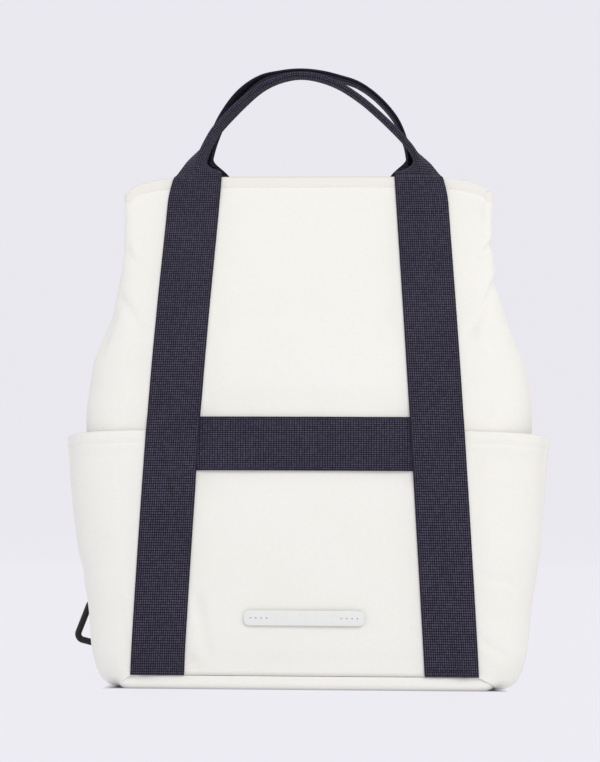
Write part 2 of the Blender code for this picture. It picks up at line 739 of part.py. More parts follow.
def add_ring_tab(name, hand, reach):
    """Short strip sewn onto the strap's edge and folded round the ring's inner bar."""
    corners = ring_corners(hand, reach)
    bar = (corners[3] - corners[0]).normalized()
    middle = (corners[0] + corners[3]) / 2
    pull = bar.cross(Vector((0, 1, 0)))
    if pull.x * hand > 0:
        pull.negate()
    turn = bar_hairpin(middle, pull, RING_TAB_WALL)
    near = turn[-1] + pull * (reach + RING_TAB_LAP)
    far = near + Vector((0, RING_TAB_WALL + RING_CLEARANCE, 0))
    bend = turn[0] + pull * RING_WIRE
    bend.y = mix(turn[0].y, far.y, 0.25)
    settle = turn[0] + pull * (RING_WIRE + RING_TAB_LAP / 2)
    settle.y = far.y
    route = [far, settle, bend] + turn + [near]
    across = [bar] * len(route)
    return ribbon(name, route, across, [RING_TAB_WIDTH] * len(route), RING_TAB_WALL, NAVY)


def add_shoulder_strap(name, hand, reach):
    """Strap sewn flat to the top of the back, bowed off it and folded round a ring."""
    corners = ring_corners(hand, reach)
    bar = (corners[2] - corners[3]).normalized()
    middle = (corners[2] + corners[3]) / 2
    pull = ring_frame(hand, reach)[2]
    turn = bar_hairpin(middle, pull, SHOULDER_WALL)
    lying = SHOULDER_GAP + SHOULDER_WALL / 2
    top = []
    for share in (0.0, 0.25, 0.5, 0.75, 1.0):
        z = SHOULDER_TOP - share * SHOULDER_SEWN_LENGTH
        x = SHOULDER_TOP_SPACING / 2
        top.append(Vector((hand * x, face_depth(x - SHOULDER_WIDTH / 2, z) + lying, z)))
    start = top[-1]
    end = turn[0] + pull * SHOULDER_END_LENGTH
    hang = []
    for row in STRAP_ROWS:
        z = mix(start.z, end.z, row.down)
        back = face_depth(SHOULDER_TOP_SPACING / 2 - SHOULDER_WIDTH / 2, z) + lying
        y = mix(back, end.y, smooth_step(row.down)) + row.bow * SHOULDER_BOW
        hang.append(Vector((mix(start.x, end.x, row.across), y, z)))
    hang = smooth_route(hang, SHOULDER_STEPS)
    inner_end = turn[-1] + pull * SHOULDER_END_LENGTH
    inner_end.y = end.y - SHOULDER_WALL - SHOULDER_GAP
    route = top[:-1] + hang + turn + [inner_end]
    outward = Vector((0, 1, 0))
    across = []
    widths = []
    for n, place in enumerate(route):
        down = (start.z - place.z) / (start.z - end.z)
        share = smooth_step((down - SHOULDER_TAPER[0]) / (SHOULDER_TAPER[1] - SHOULDER_TAPER[0]))
        along = route[min(n + 1, len(route) - 1)] - route[max(n - 1, 0)]
        level = along.cross(outward)
        level = level.normalized() if level.length > 0 else bar
        if level.dot(bar) < 0:
            level.negate()
        past_end = n >= len(top) - 1 + len(hang)
        turn_share = 1 if past_end else smooth_step((down - 0.8) / 0.2)
        across.append(level.lerp(bar, turn_share).normalized())
        widths.append(mix(SHOULDER_WIDTH, SHOULDER_END_WIDTH, share))
    return ribbon(name, route, across, widths, SHOULDER_WALL, NAVY)


def main():
    for old in list(bpy.data.objects):
        bpy.data.objects.remove(old)
    add_face_panel("front_panel", -1)
    add_face_panel("back_panel", 1)
    add_side_panel("left_side", -1)
    add_side_panel("right_side", 1)
    add_base()
    add_pocket("left_pocket", -1)
    add_pocket("right_pocket", 1)
    add_webbing("front_webbing", -1, FRONT_HANDLE, FRONT_HANDLE_RISE, True)
    add_webbing("back_webbing", 1, BACK_HANDLE, BACK_HANDLE_RISE, False)
    add_cross_strap()
    add_name_plate()
    for side, hand, reach in (("left", -1, LEFT_TAB_REACH), ("right", 1, RIGHT_TAB_REACH)):
        add_ring(side + "_ring", hand, reach)
        add_ring_tab(side + "_ring_tab", hand, reach)
        add_shoulder_strap(side + "_shoulder_strap", hand, reach)


main()
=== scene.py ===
# %% [markdown]
# # A convertible backpack, piece by piece
# The real bag is a tote of coated off-white canvas with two long straps of dark navy webbing
# that run up each face and make the handles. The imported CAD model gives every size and
# place. Each solid of it is replaced here by a finer piece that lies in the same spot.

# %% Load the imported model
from collections import namedtuple
from functools import lru_cache
from math import copysign, cos, exp, hypot, pi, radians, sin, sqrt, tan

import bmesh
import bpy
from mathutils import Matrix, Vector, noise


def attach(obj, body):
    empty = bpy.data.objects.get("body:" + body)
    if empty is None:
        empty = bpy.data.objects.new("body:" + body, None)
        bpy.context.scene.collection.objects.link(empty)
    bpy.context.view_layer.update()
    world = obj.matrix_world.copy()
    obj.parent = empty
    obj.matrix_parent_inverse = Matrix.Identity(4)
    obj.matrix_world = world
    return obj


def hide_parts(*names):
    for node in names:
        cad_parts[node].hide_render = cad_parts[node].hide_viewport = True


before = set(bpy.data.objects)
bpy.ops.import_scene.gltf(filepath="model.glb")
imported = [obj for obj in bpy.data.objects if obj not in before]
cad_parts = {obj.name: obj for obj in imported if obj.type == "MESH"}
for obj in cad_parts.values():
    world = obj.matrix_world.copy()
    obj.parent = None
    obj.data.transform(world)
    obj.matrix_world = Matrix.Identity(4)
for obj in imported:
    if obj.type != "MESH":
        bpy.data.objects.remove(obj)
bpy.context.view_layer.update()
scene = bpy.context.scene
MM = 0.001
print("CAD nodes:", sorted(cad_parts))

# %% [markdown]
# ## The camera
# The straps measure the same width over the whole height of the photo, so the camera stands
# 1.5 m away, level with the lower third of the bag, and looks up very slightly. It stands two
# degrees to the right, which is why only the left ring shows.

# %% Camera
CAMERA_DISTANCE = 1.5
CAMERA_HEIGHT = 0.12
CAMERA_TURN = radians(2)
CAMERA_ROLL = radians(0.3)
CAMERA_AIM = Vector((-0.0071, 0, 0.2351))
CAMERA_LENS = 114.64


def add_object(name, data):
    added = bpy.data.objects.new(name, data)
    scene.collection.objects.link(added)
    return added


camera_data = bpy.data.cameras.new("photo_camera")
camera_data.sensor_fit = "HORIZONTAL"
camera_data.sensor_width = 36
camera_data.lens = CAMERA_LENS
camera = add_object("photo_camera", camera_data)
stand = Vector((CAMERA_DISTANCE * sin(CAMERA_TURN), -CAMERA_DISTANCE * cos(CAMERA_TURN),
                CAMERA_HEIGHT))
turn = (CAMERA_AIM - stand).to_track_quat("-Z", "Y").to_matrix().to_4x4()
camera.matrix_world = Matrix.Translation(stand) @ turn @ Matrix.Rotation(CAMERA_ROLL, 4, "Z")
scene.camera = camera
print("camera at", [round(c, 3) for c in stand])

# %% [markdown]
# ## Colours and nodes
# Colours are written as the hex values that a screen shows, and one function turns them into
# the linear values that shaders use. The others add the nodes that many finishes need. Most
# give back a pair: the node, and the output to link.

# %% Colour and node helpers
def linear(code):
    channels = [int(code[n:n + 2], 16) / 255 for n in (1, 3, 5)]
    lit = [c / 12.92 if c <= 0.04045 else ((c + 0.055) / 1.055) ** 2.4 for c in channels]
    return (*lit, 1.0)


def add_node(tree, kind, output, inputs=None, **settings):
    """Add a node. An input's value is a number, a colour, or the pair of another node."""
    node = tree.nodes.new(kind)
    for name, value in settings.items():
        setattr(node, name, value)
    for name, value in (inputs or {}).items():
        if isinstance(value, tuple) and isinstance(value[0], bpy.types.Node):
            tree.links.new(value[0].outputs[value[1]], node.inputs[name])
        else:
            node.inputs[name].default_value = value
    return node, output


def blend(tree, share, first, second, way="MIX"):
    """Mix two colours, each of them a hex code or a pair."""
    first, second = (linear(c) if isinstance(c, str) else c for c in (first, second))
    return add_node(tree, "ShaderNodeMix", 2, {0: share, 6: first, 7: second},
                    data_type="RGBA", blend_type=way)


def calculate(tree, operation, *values):
    return add_node(tree, "ShaderNodeMath", 0, dict(enumerate(values)), operation=operation)


def ramp(tree, value, low, high, start=0.0, end=1.0):
    """Go from start to end while the value goes from low to high."""
    limits = {"From Min": low, "From Max": high, "To Min": start, "To Max": end}
    return add_node(tree, "ShaderNodeMapRange", 0, {"Value": value, **limits})


def coordinate(tree, vector, axis):
    return add_node(tree, "ShaderNodeSeparateXYZ", axis, {0: vector})


def own_place(tree):
    return add_node(tree, "ShaderNodeTexCoord", "Object")


def speckle(tree, scale, detail=2.0):
    return add_node(tree, "ShaderNodeTexNoise", "Fac",
                    {"Vector": own_place(tree), "Scale": scale, "Detail": detail})


def bands(tree, vector, pitch, direction):
    """Soft bands a pitch apart."""
    return add_node(tree, "ShaderNodeTexWave", "Fac", {"Vector": vector, "Scale": 0.314 / pitch},
                    bands_direction=direction)


def new_finish(name, roughness, specular, sheen=0.0):
    material = bpy.data.materials.new(name)
    material.use_nodes = True
    shader = material.node_tree.nodes["Principled BSDF"]
    shader.inputs["Roughness"].default_value = roughness
    shader.inputs["Specular IOR Level"].default_value = specular
    shader.inputs["Sheen Weight"].default_value = sheen
    return material, material.node_tree, shader


def dress(tree, shader, colour, height=None, strength=0.0, depth=0.0):
    """Give a shader its colour, and its relief if it has one."""
    tree.links.new(colour[0].outputs[colour[1]], shader.inputs["Base Color"])
    if height:
        relief = {"Height": height, "Strength": strength, "Distance": depth}
        bump = add_node(tree, "ShaderNodeBump", 0, relief)[0]
        tree.links.new(bump.outputs[0], shader.inputs["Normal"])


print("white paper is", [round(c, 2) for c in linear("#F3F0E8")])

# %% [markdown]
# ## Coated canvas
# The body is plain-woven cotton canvas with a thin matt coating. Up close there is still a
# faint grid of threads, and over a hand's width the tone drifts a little. Real threads are
# 0.5 mm apart, finer than the render can show, so the grid is drawn at 1.2 mm.

# %% Canvas finish
CANVAS_THREAD = 1.2 * MM
HEM_SHADE_START = 381 * MM
canvas, tree, shader = new_finish("coated_cotton_canvas", 0.72, 0.3, 0.08)
lengths = add_node(tree, "ShaderNodeUVMap", "UV", uv_map="length")
grain = speckle(tree, 420.0)
tone = blend(tree, speckle(tree, 14.0, 3.0), "#EBEAE2", "#F0EFE9")
cloth_tone = blend(tree, 0.35, tone, blend(tree, grain, "#EEEDE5", "#FFFFFF"), "MULTIPLY")
# Painted shade: the band from the mouth stitches up to the rim gets a darker colour, as shade on the
# turned-in hem.
painted_hem_shade = ramp(tree, coordinate(tree, lengths, 1), HEM_SHADE_START, HEM_SHADE_START + MM)
weft, warp = (bands(tree, lengths, CANVAS_THREAD, direction) for direction in "XY")
weave = calculate(tree, "ADD", calculate(tree, "MULTIPLY", weft, warp), grain)
dress(tree, shader, blend(tree, painted_hem_shade, cloth_tone, "#E6E4DC"), weave, 0.25, 0.12 * MM)
print("canvas threads a hand's width:", round(80 * MM / CANVAS_THREAD))

# %% [markdown]
# ## Navy webbing
# Raised ribs cross the heavy webbing 1.9 mm apart, and gaps 1.6 mm apart cut each rib into small square
# floats that catch the light. A brick pattern without an offset is exactly that layout; its near-black mortar
# is painted shade in the gaps. The outer 1.2 mm on each side is the selvedge, which lies flat.

# %% Webbing finish
FLOAT_WIDTH = 1.6 * MM
RIB_PITCH = 1.9 * MM
SELVEDGE = 1.2 * MM


def webbing_finish(name, half_width):
    material, tree, shader = new_finish(name, 0.8, 0.15, 0.04)
    lengths = add_node(tree, "ShaderNodeUVMap", "UV", uv_map="length")
    # The brick pattern reads centimetres, so its sizes stay inside the range of its sockets.
    # Painted shade: the mortar colour darkens the gaps between the floats to near black.
    floats = add_node(tree, "ShaderNodeTexBrick", "Color", {
        "Vector": lengths, "Scale": 100.0, "Brick Width": FLOAT_WIDTH * 100,
        "Row Height": RIB_PITCH * 100, "Mortar Size": 0.036, "Mortar Smooth": 0.6,
        "Color1": linear("#575469"), "Color2": linear("#454255"), "Mortar": linear("#08070B")}, offset=0.0)
    gaps = floats[0], "Fac"
    off_middle = calculate(tree, "ABSOLUTE", coordinate(tree, lengths, 0))
    flat_from = half_width - SELVEDGE
    edge = ramp(tree, off_middle, flat_from - 0.4 * MM, flat_from + 0.4 * MM)
    flat = blend(tree, edge, floats, "#2A2734")
    shade = blend(tree, speckle(tree, 22.0), "#D8D4DA", "#FFFFFF")
    low, middle = (calculate(tree, "SUBTRACT", 1.0, part) for part in (gaps, edge))
    ribs = calculate(tree, "MULTIPLY", low, middle)
    height = calculate(tree, "MULTIPLY_ADD", speckle(tree, 900.0), 0.25, ribs)
    dress(tree, shader, blend(tree, 1.0, flat, shade, "MULTIPLY"), height, 0.9, 0.45 * MM)
    return material


webbing = webbing_finish("woven_navy_webbing", 20 * MM)
narrow_webbing = webbing_finish("woven_navy_tape", 9 * MM)
print("floats across a strap:", round(40 * MM / FLOAT_WIDTH, 1))

# %% [markdown]
# ## Thread, rubber and steel
# Thread is twisted polyester, whose twist is painted as slanted lighter and darker bands: painted highlight
# and shade along the plies. The small plate is moulded silicone rubber, with a satin skin that is never quite
# even. The rings are steel wire with a black powder coat, whose fine orange peel softens every highlight.

# %% Small finishes
def thread_finish(name, dark, light):
    material, tree, shader = new_finish(name, 0.55, 0.35)
    # Painted light and shade: the twist shows as slanted lighter and darker bands of colour.
    twist_light_and_shade = bands(tree, own_place(tree), 0.6 * MM, "DIAGONAL")
    dress(tree, shader, blend(tree, twist_light_and_shade, dark, light))
    return material


def skin_finish(name, roughness, specular, skin, tones, strength):
    """A finish whose fine skin shows in its tone and in its relief."""
    material, tree, shader = new_finish(name, roughness, specular)
    skin = speckle(tree, *skin)
    dress(tree, shader, blend(tree, skin, *tones), skin, strength, 0.1 * MM)
    return material


cream_thread = thread_finish("cream_polyester_thread", "#D5CEC0", "#EFE9DD")
grey_thread = thread_finish("grey_polyester_thread", "#A39B90", "#B9B1A6")
navy_thread = thread_finish("navy_polyester_thread", "#0B0A10", "#16141C")
rubber = skin_finish("moulded_silicone_rubber", 0.42, 0.4, (260.0, 3.0), ("#DCDEDA", "#E7E8E4"), 0.2)
steel = skin_finish("powder_coated_steel", 0.4, 0.3, (700.0, 2.0), ("#0F0D0B", "#1D1A17"), 0.3)
print("finishes:", [m.name for m in (canvas, webbing, cream_thread, grey_thread, navy_thread, rubber, steel)])

# %% [markdown]
# ## The bag's shape in numbers
# The body is described by level outlines at a few heights, as shares of its main sizes. They
# are the CAD model's own numbers, so a fine surface lies exactly where the plain one does.

# %% Sizes and tables
BODY_HEIGHT = 390 * MM
HALF_WIDTH = 175 * MM
HALF_DEPTH = 82 * MM
CORNER_RADIUS = 38 * MM
FACE_CROWN = 5 * MM
CLOTH_WALL = 2.0 * MM
CORNER_DROP = 12 * MM
MOUTH_HEM = 8.5 * MM
BASE_HEIGHT = 10.2 * MM
PANEL_GAP = 0.3 * MM
POCKET_TOP = 192.5 * MM
DRAWN_IN = 4.4 * MM
WEBBING_HALF = 20 * MM
WEBBING_WALL = 1.8 * MM
WEBBING_GAP = 0.35 * MM
CROSS_MIDDLE = 182 * MM
STRAP_FOOT = 109 * MM
STRAP_HEAD = 86.5 * MM
SEAM_LANE = 0.40
CORNER_LANE = 0.52
SIDE_LANE = 0.72


def table(fields, *rows):
    """Rows of numbers whose columns have names."""
    row_type = namedtuple("Row", fields)
    return tuple(row_type(*row) for row in rows)


SECTIONS = table(
    "height edge side depth corner crown crease",
    (0.027, 0.918, 0.930, 0.890, 0.90, 0.2, 0.0),
    (0.077, 0.946, 0.958, 0.940, 0.94, 0.6, 0.0),
    (0.154, 0.954, 0.968, 0.970, 1.00, 0.8, 0.0),
    (0.256, 0.963, 0.980, 0.990, 1.00, 1.0, 0.0),
    (0.372, 0.966, 0.989, 1.000, 1.00, 1.0, 0.0),
    (0.487, 0.971, 1.000, 0.988, 1.00, 1.0, 0.0),
    (0.564, 0.966, 1.000, 0.963, 0.97, 0.9, 0.0),
    (0.628, 0.949, 0.980, 0.927, 0.92, 0.8, 0.0),
    (0.672, 0.914, 0.934, 0.890, 0.84, 0.7, 0.0),
    (0.718, 0.874, 0.880, 0.848, 0.70, 0.6, 0.1),
    (0.769, 0.843, 0.823, 0.793, 0.54, 0.5, 0.3),
    (0.833, 0.820, 0.754, 0.707, 0.34, 0.3, 0.7),
    (0.910, 0.814, 0.697, 0.610, 0.21, 0.1, 0.9),
    (1.000, 0.814, 0.663, 0.524, 0.13, 0.0, 1.0))
POCKET_ROWS = table("height bulge", (0.05, 0.00), (0.16, 0.06), (0.31, 0.24), (0.52, 0.62),
                    (0.75, 0.90), (1.00, 1.00))
print("outlines:", len(SECTIONS))

# %% [markdown]
# ## Places on the body
# A lane counts the way round the body: 0 is the middle of the front, 1 of the side and 2 of
# the back. A lane and a height give a point on the outside, read from the tables along a
# smooth curve.

# %% Read the tables
Outline = namedtuple("Outline", "start edge side depth radius crown crease")


def mix(a, b, share):
    return a + (b - a) * share


def clamp(value):
    return min(max(value, 0.0), 1.0)


def ease(value):
    value = clamp(value)
    return value * value * (3 - 2 * value)


def smooth_value(rows, column, at):
    """Read one column of a table between its rows, along a smooth curve."""
    keys = [row.height for row in rows]
    values = [getattr(row, column) for row in rows]
    if at <= keys[0]:
        return values[0]
    if at >= keys[-1]:
        return values[-1]
    i = max(n for n in range(len(keys) - 1) if keys[n] <= at)
    slopes = []
    for n in (i, i + 1):
        low, high = max(n - 1, 0), min(n + 1, len(keys) - 1)
        slopes.append((values[high] - values[low]) / (keys[high] - keys[low]))
    span = keys[i + 1] - keys[i]
    t = (at - keys[i]) / span
    rest = 1 - t
    return (rest * rest * ((1 + 2 * t) * values[i] + t * span * slopes[0])
            + t * t * ((3 - 2 * t) * values[i + 1] - rest * span * slopes[1]))


@lru_cache(maxsize=None)
def outline_at(z):
    """The outline at a height. Its corner begins at start and ends at edge."""
    edge, side, depth, corner, crown, crease = (
        smooth_value(SECTIONS, name, z / BODY_HEIGHT) for name in SECTIONS[0]._fields[1:])
    edge, radius = edge * HALF_WIDTH, corner * CORNER_RADIUS
    return Outline(edge - radius, edge, side * HALF_WIDTH, depth * HALF_DEPTH, radius,
                   crown * FACE_CROWN, crease)


def strap_middle(z):
    return mix(STRAP_FOOT, STRAP_HEAD, clamp((z - BASE_HEIGHT) / (BODY_HEIGHT - BASE_HEIGHT)))


def face_depth(x, z):
    """Distance from the middle plane to the outside of the front or back."""
    here = outline_at(round(z, 5))
    if abs(x) <= here.start:
        return here.depth + here.crown * (1 - (x / here.start) ** 2)
    past = min((abs(x) - here.start) / here.radius, 1.0)
    return here.depth - here.radius + here.radius * sqrt(1 - past ** 2)


def lane_point(lane, z):
    """A place on the outside for x > 0: lane 0 is the middle of the front, 2 of the back."""
    facing = -1
    if lane > 1:
        lane, facing = 2 - lane, 1
    here = outline_at(round(z, 5))
    if lane <= SEAM_LANE:
        x = strap_middle(z) * lane / SEAM_LANE
        y = face_depth(x, z)
    elif lane <= CORNER_LANE:
        x = mix(strap_middle(z), here.start, (lane - SEAM_LANE) / (CORNER_LANE - SEAM_LANE))
        y = face_depth(x, z)
    elif lane <= SIDE_LANE:
        turn = (lane - CORNER_LANE) / (SIDE_LANE - CORNER_LANE) * pi / 2
        x = here.start + here.radius * sin(turn)
        y = here.depth - here.radius + here.radius * cos(turn)
    else:
        share = (lane - SIDE_LANE) / (1 - SIDE_LANE)
        x = mix(here.edge, here.side, mix(sin(share * pi / 2), share, here.crease))
        y = (here.depth - here.radius) * (1 - share)
    return Vector((x, facing * y, z))


def lane_outward(lane, z):
    if abs(lane - 1) < 0.01:
        return Vector((1, 0, 0))
    along = lane_point(min(lane + 0.01, 2), z) - lane_point(max(lane - 0.01, 0), z)
    return Vector((along.y, -along.x, 0)).normalized()


def mouth_height(x):
    return BODY_HEIGHT - CORNER_DROP * min(abs(x) / (SECTIONS[-1].edge * HALF_WIDTH), 1.0) ** 8


def side_mouth_height(lane):
    flat_lane = min(lane, 2 - lane)
    if flat_lane > CORNER_LANE:
        return BODY_HEIGHT - CORNER_DROP
    return mouth_height(lane_point(flat_lane, BODY_HEIGHT).x)


def draw_in(hand, x, z):
    """In the photo the lower left side is drawn in a few millimetres."""
    if hand > 0:
        return 0.0
    return DRAWN_IN * ease((165 * MM - z) / (120 * MM)) * ease((x - 125 * MM) / (25 * MM))


print("depth at mid height, mm:", round(face_depth(0, 0.15) / MM, 1))

# %% [markdown]
# ## Helpers for every piece
# A strip or panel is a flat grid whose points are moved to where the cloth runs. Each point
# also gets a place on a UV map in metres, so that a weave keeps its real size. An open panel
# gets its thickness from a modifier, and a closed section is merged along its seam.

# %% Grid helpers
WELD = 0.005 * MM


def moved_grid(columns, rows, place):
    """A grid whose points are moved by place(column, row), which gives a point and its UV."""
    bm = bmesh.new()
    bmesh.ops.create_grid(bm, x_segments=columns, y_segments=rows, size=0.5)
    layer = bm.loops.layers.uv.new("length")
    spots = {v: place(round((v.co.x + 0.5) * columns), round((v.co.y + 0.5) * rows)) for v in bm.verts}
    for face in bm.faces:
        for loop in face.loops:
            loop[layer].uv = spots[loop.vert][1]
    for vert, (point, _) in spots.items():
        vert.co = point
    return bm


def face_away(bm, middle):
    """Turn an open sheet so that its faces look away from a point."""
    bmesh.ops.recalc_face_normals(bm, faces=bm.faces)
    if sum((f.calc_center_median() - middle).dot(f.normal) * f.calc_area() for f in bm.faces) < 0:
        bmesh.ops.reverse_faces(bm, faces=bm.faces)


def add_piece(name, bm, material, replaced=(), wall=0.0, sharp=50):
    mesh = bpy.data.meshes.new(name)
    bm.to_mesh(mesh)
    bm.free()
    mesh.materials.append(material)
    mesh.shade_smooth()
    mesh.set_sharp_from_angle(angle=radians(sharp))
    piece = add_object(name, mesh)
    if wall:
        thick = piece.modifiers.new("wall", "SOLIDIFY")
        thick.thickness = wall
        thick.offset = -1
        thick.use_even_offset = False
    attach(piece, "root")
    if replaced:
        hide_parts(*replaced)
    print(name, len(mesh.polygons), "faces")


def add_sheet(name, bm, replaced, wall=CLOTH_WALL):
    """Add an open sheet of canvas that faces away from the middle of the bag."""
    face_away(bm, Vector((0, 0, 0.2)))
    add_piece(name, bm, canvas, replaced, wall)


def add_closed(name, bm, material, replaced, sharp=70):
    """Merge the seam of a closed section, fill its open ends and add it."""
    bmesh.ops.remove_doubles(bm, verts=bm.verts, dist=WELD)
    bmesh.ops.holes_fill(bm, edges=[e for e in bm.edges if e.is_boundary], sides=0)
    bmesh.ops.recalc_face_normals(bm, faces=bm.faces)
    add_piece(name, bm, material, [replaced], sharp=sharp)


# %% [markdown]
# ## Creases
# Stiff canvas doesn't ripple. It keeps a few soft folds where the sides are pressed in near
# the mouth, and shallow dents low on the body. Each fold runs between two places on a face,
# in millimetres, and has a small ridge beside it. Noise adds a slight unevenness.

# %% Folds
FOLD = "x0 z0 x1 z1 width depth"
FACE_FOLDS = table(FOLD, (-62, 284, 62, 281, 11, 1.3), (-70, 214, 60, 212, 9, 1.0),
                   (-79, 66, -72, 28, 4, 1.6), (-87, 24, -79, 17, 2.4, 2.4),
                   (30, 120, 62, 150, 18, 0.7), (-20, 340, 40, 330, 20, 0.6))
RIGHT_FOLDS = table(FOLD, (147, 341, 131, 325, 3.0, 2.2), (151, 316, 123, 265, 3.2, 2.6),
                    (155, 292, 160, 272, 2.5, 2.0), (150, 228, 134, 208, 9, 1.8),
                    (126, 85, 144, 80, 2.6, 2.4), (126, 36, 140, 26, 2.4, 2.4),
                    (134, 14, 155, 10, 3.5, 0.8))
LEFT_FOLDS = table(FOLD, (139, 330, 128, 316, 4, 1.8), (143, 292, 122, 268, 4.5, 2.2),
                   (148, 284, 157, 256, 4, 1.8), (126, 240, 160, 226, 12, 1.6),
                   (144, 104, 158, 88, 7, 1.8), (134, 66, 124, 34, 3, 2.4),
                   (134, 20, 150, 12, 4, 0.8))
RIDGE = 0.2


def fold_depth(folds, x, z):
    """How far the cloth sinks at a place on a face, both in metres."""
    sink = 0.0
    for fold in folds:
        ax, az = (fold.x1 - fold.x0) * MM, (fold.z1 - fold.z0) * MM
        px, pz = x - fold.x0 * MM, z - fold.z0 * MM
        length = hypot(ax, az)
        share = clamp((px * ax + pz * az) / length ** 2)
        away = hypot(px - ax * share, pz - az * share) / (fold.width * MM)
        if away < 4:
            across = (px * az - pz * ax) / length / (fold.width * MM)
            beyond = max(away ** 2 - across ** 2, 0.0)
            sink += fold.depth * MM * exp(-away ** 2)
            sink -= RIDGE * fold.depth * MM * exp(-(across - 1.5) ** 2 - beyond)
    return sink


def sag(point, scale, amount):
    return (0.5 + 0.5 * noise.noise(point / scale)) * amount


def clear_of_strap(x, z):
    """0 under the webbing and 1 a little away from it, so that no fold reaches it."""
    return ease((abs(abs(x) - strap_middle(z)) - 19 * MM) / (7 * MM))


print("deepest fold, mm:", max(f.depth for f in FACE_FOLDS + RIGHT_FOLDS + LEFT_FOLDS))

# %% [markdown]
# ## Front and back panels
# Between the straps the cloth swells a little. Its top edge is folded in and stitched 8.5 mm
# down, which draws a shallow groove and leaves a soft, rounded lip. The rows of the grid
# crowd towards the mouth for that reason.

# %% Panels of the two faces
SEAM = BASE_HEIGHT + PANEL_GAP
LIP = 1.3 * MM
PANEL_ROWS = 132


def row_height(row, top):
    return top - (top - SEAM) * (1 - row / PANEL_ROWS) ** 1.3


def hem_sink(z, top):
    """The stitched groove, and the round lip above it."""
    groove = 0.55 * MM * exp(-((top - MOUTH_HEM - z) / (1.3 * MM)) ** 2)
    left = max(LIP - (top - z), 0.0)
    return groove + LIP - sqrt(max(LIP ** 2 - left ** 2, 0.0))


def face_panel(name, facing, folds):
    columns = 72

    def place(column, row):
        share = 2 * column / columns - 1
        top = mouth_height(share * strap_middle(BODY_HEIGHT))
        z = row_height(row, top)
        x = share * (strap_middle(z) - PANEL_GAP / 2)
        free = clear_of_strap(x, z) * ease((z - SEAM) / (12 * MM))
        free *= ease((top - MOUTH_HEM - z) / (22 * MM))
        spot = Vector((x, facing * 0.2, z))
        sink = fold_depth(folds, x, z) + sag(spot, 70 * MM, 2.0 * MM) + sag(spot, 24 * MM, 0.5 * MM)
        y = face_depth(x, z) - hem_sink(z, top) - free * sink
        return Vector((x, facing * y, z)), (x, BODY_HEIGHT - top + z)

    bm = moved_grid(columns, PANEL_ROWS, place)
    add_sheet(name, bm, [name.replace("_cloth", "_panel")])


face_panel("front_cloth", -1, FACE_FOLDS)
face_panel("back_cloth", 1, FACE_FOLDS[1:2])

# %% [markdown]
# ## The sides
# Each side runs from the front strap round to the back strap. Above the pockets it is pressed
# in to a long crease, the way a gusset folds. A column of the grid lies on that crease.

# %% Side panels
SIDE_LANE_LENGTH = 0.25


def side_panel(name, hand, folds):
    columns = 120

    def place(column, row):
        lane = mix(SEAM_LANE, 2 - SEAM_LANE, column / columns)
        top = side_mouth_height(lane)
        z = row_height(row, top)
        point = lane_point(lane, z)
        if column in (0, columns):
            point.x += PANEL_GAP / 2
        free = clear_of_strap(point.x, z)
        free *= ease((z - SEAM) / (10 * MM)) * ease((top - MOUTH_HEM - z) / (18 * MM))
        spot = Vector((hand * point.x, point.y, z))
        sink = sag(spot, 60 * MM, 2.2 * MM) + sag(spot, 22 * MM, 0.6 * MM)
        if lane < 1:
            sink += fold_depth(folds, point.x, z)
        else:
            sink += 0.6 * fold_depth(folds, point.x + 6 * MM, z)
        sink = max(sink, 0) if z < POCKET_TOP else sink
        point -= lane_outward(lane, z) * (hem_sink(z, top) + free * sink)
        x = point.x - draw_in(hand, point.x, z)
        return Vector((hand * x, point.y, z)), (lane * SIDE_LANE_LENGTH, BODY_HEIGHT - top + z)

    bm = moved_grid(columns, PANEL_ROWS, place)
    add_sheet(name, bm, [name.replace("_cloth", "")])


side_panel("left_side_cloth", -1, LEFT_FOLDS)
side_panel("right_side_cloth", 1, RIGHT_FOLDS)

# %% [markdown]
# ## The folded hem inside the mouth
# The cloth that is turned in at the mouth is a band all the way round. It covers the tops of
# the seams and makes the lip twice as thick.

# %% Hem band
BAND_COLUMNS = 288
BAND_ROWS = 4
BAND_WALL = 0.9 * MM
ROUND_LANE_LENGTH = 0.12


def folded_lane(lane):
    """Lanes 2 to 4 lead back along the left side."""
    return lane if lane <= 2 else 4 - lane


def round_place(lane, z, inset):
    """A place all round the body: lanes 0 to 2 on the right, 2 to 4 on the left."""
    flat_lane = folded_lane(lane)
    point = lane_point(flat_lane, z) - lane_outward(flat_lane, z) * inset
    return Vector((point.x if lane <= 2 else -point.x, point.y, z))


def place_band(column, row):
    lane = 4 * column / BAND_COLUMNS
    top = side_mouth_height(folded_lane(lane)) - 0.5 * MM
    z = top - (1 - row / BAND_ROWS) * (MOUTH_HEM + 1.5 * MM)
    puff = 0.25 * MM * sin(row / BAND_ROWS * pi)
    inset = CLOTH_WALL + 0.15 * MM + (LIP * 0.6 if row == BAND_ROWS else 0) + puff
    return round_place(lane, z, inset), (lane * ROUND_LANE_LENGTH, z)


bm = moved_grid(BAND_COLUMNS, BAND_ROWS, place_band)
bmesh.ops.remove_doubles(bm, verts=bm.verts, dist=WELD)
add_sheet("mouth_hem", bm, (), BAND_WALL)

# %% [markdown]
# ## The base
# The bottom is a shallow tray of the same canvas. Its edge rolls in under the bag, and its
# seam shows as a slightly uneven band between the straps. Round the corners it is set further
# in, because the pockets roll in over it there.

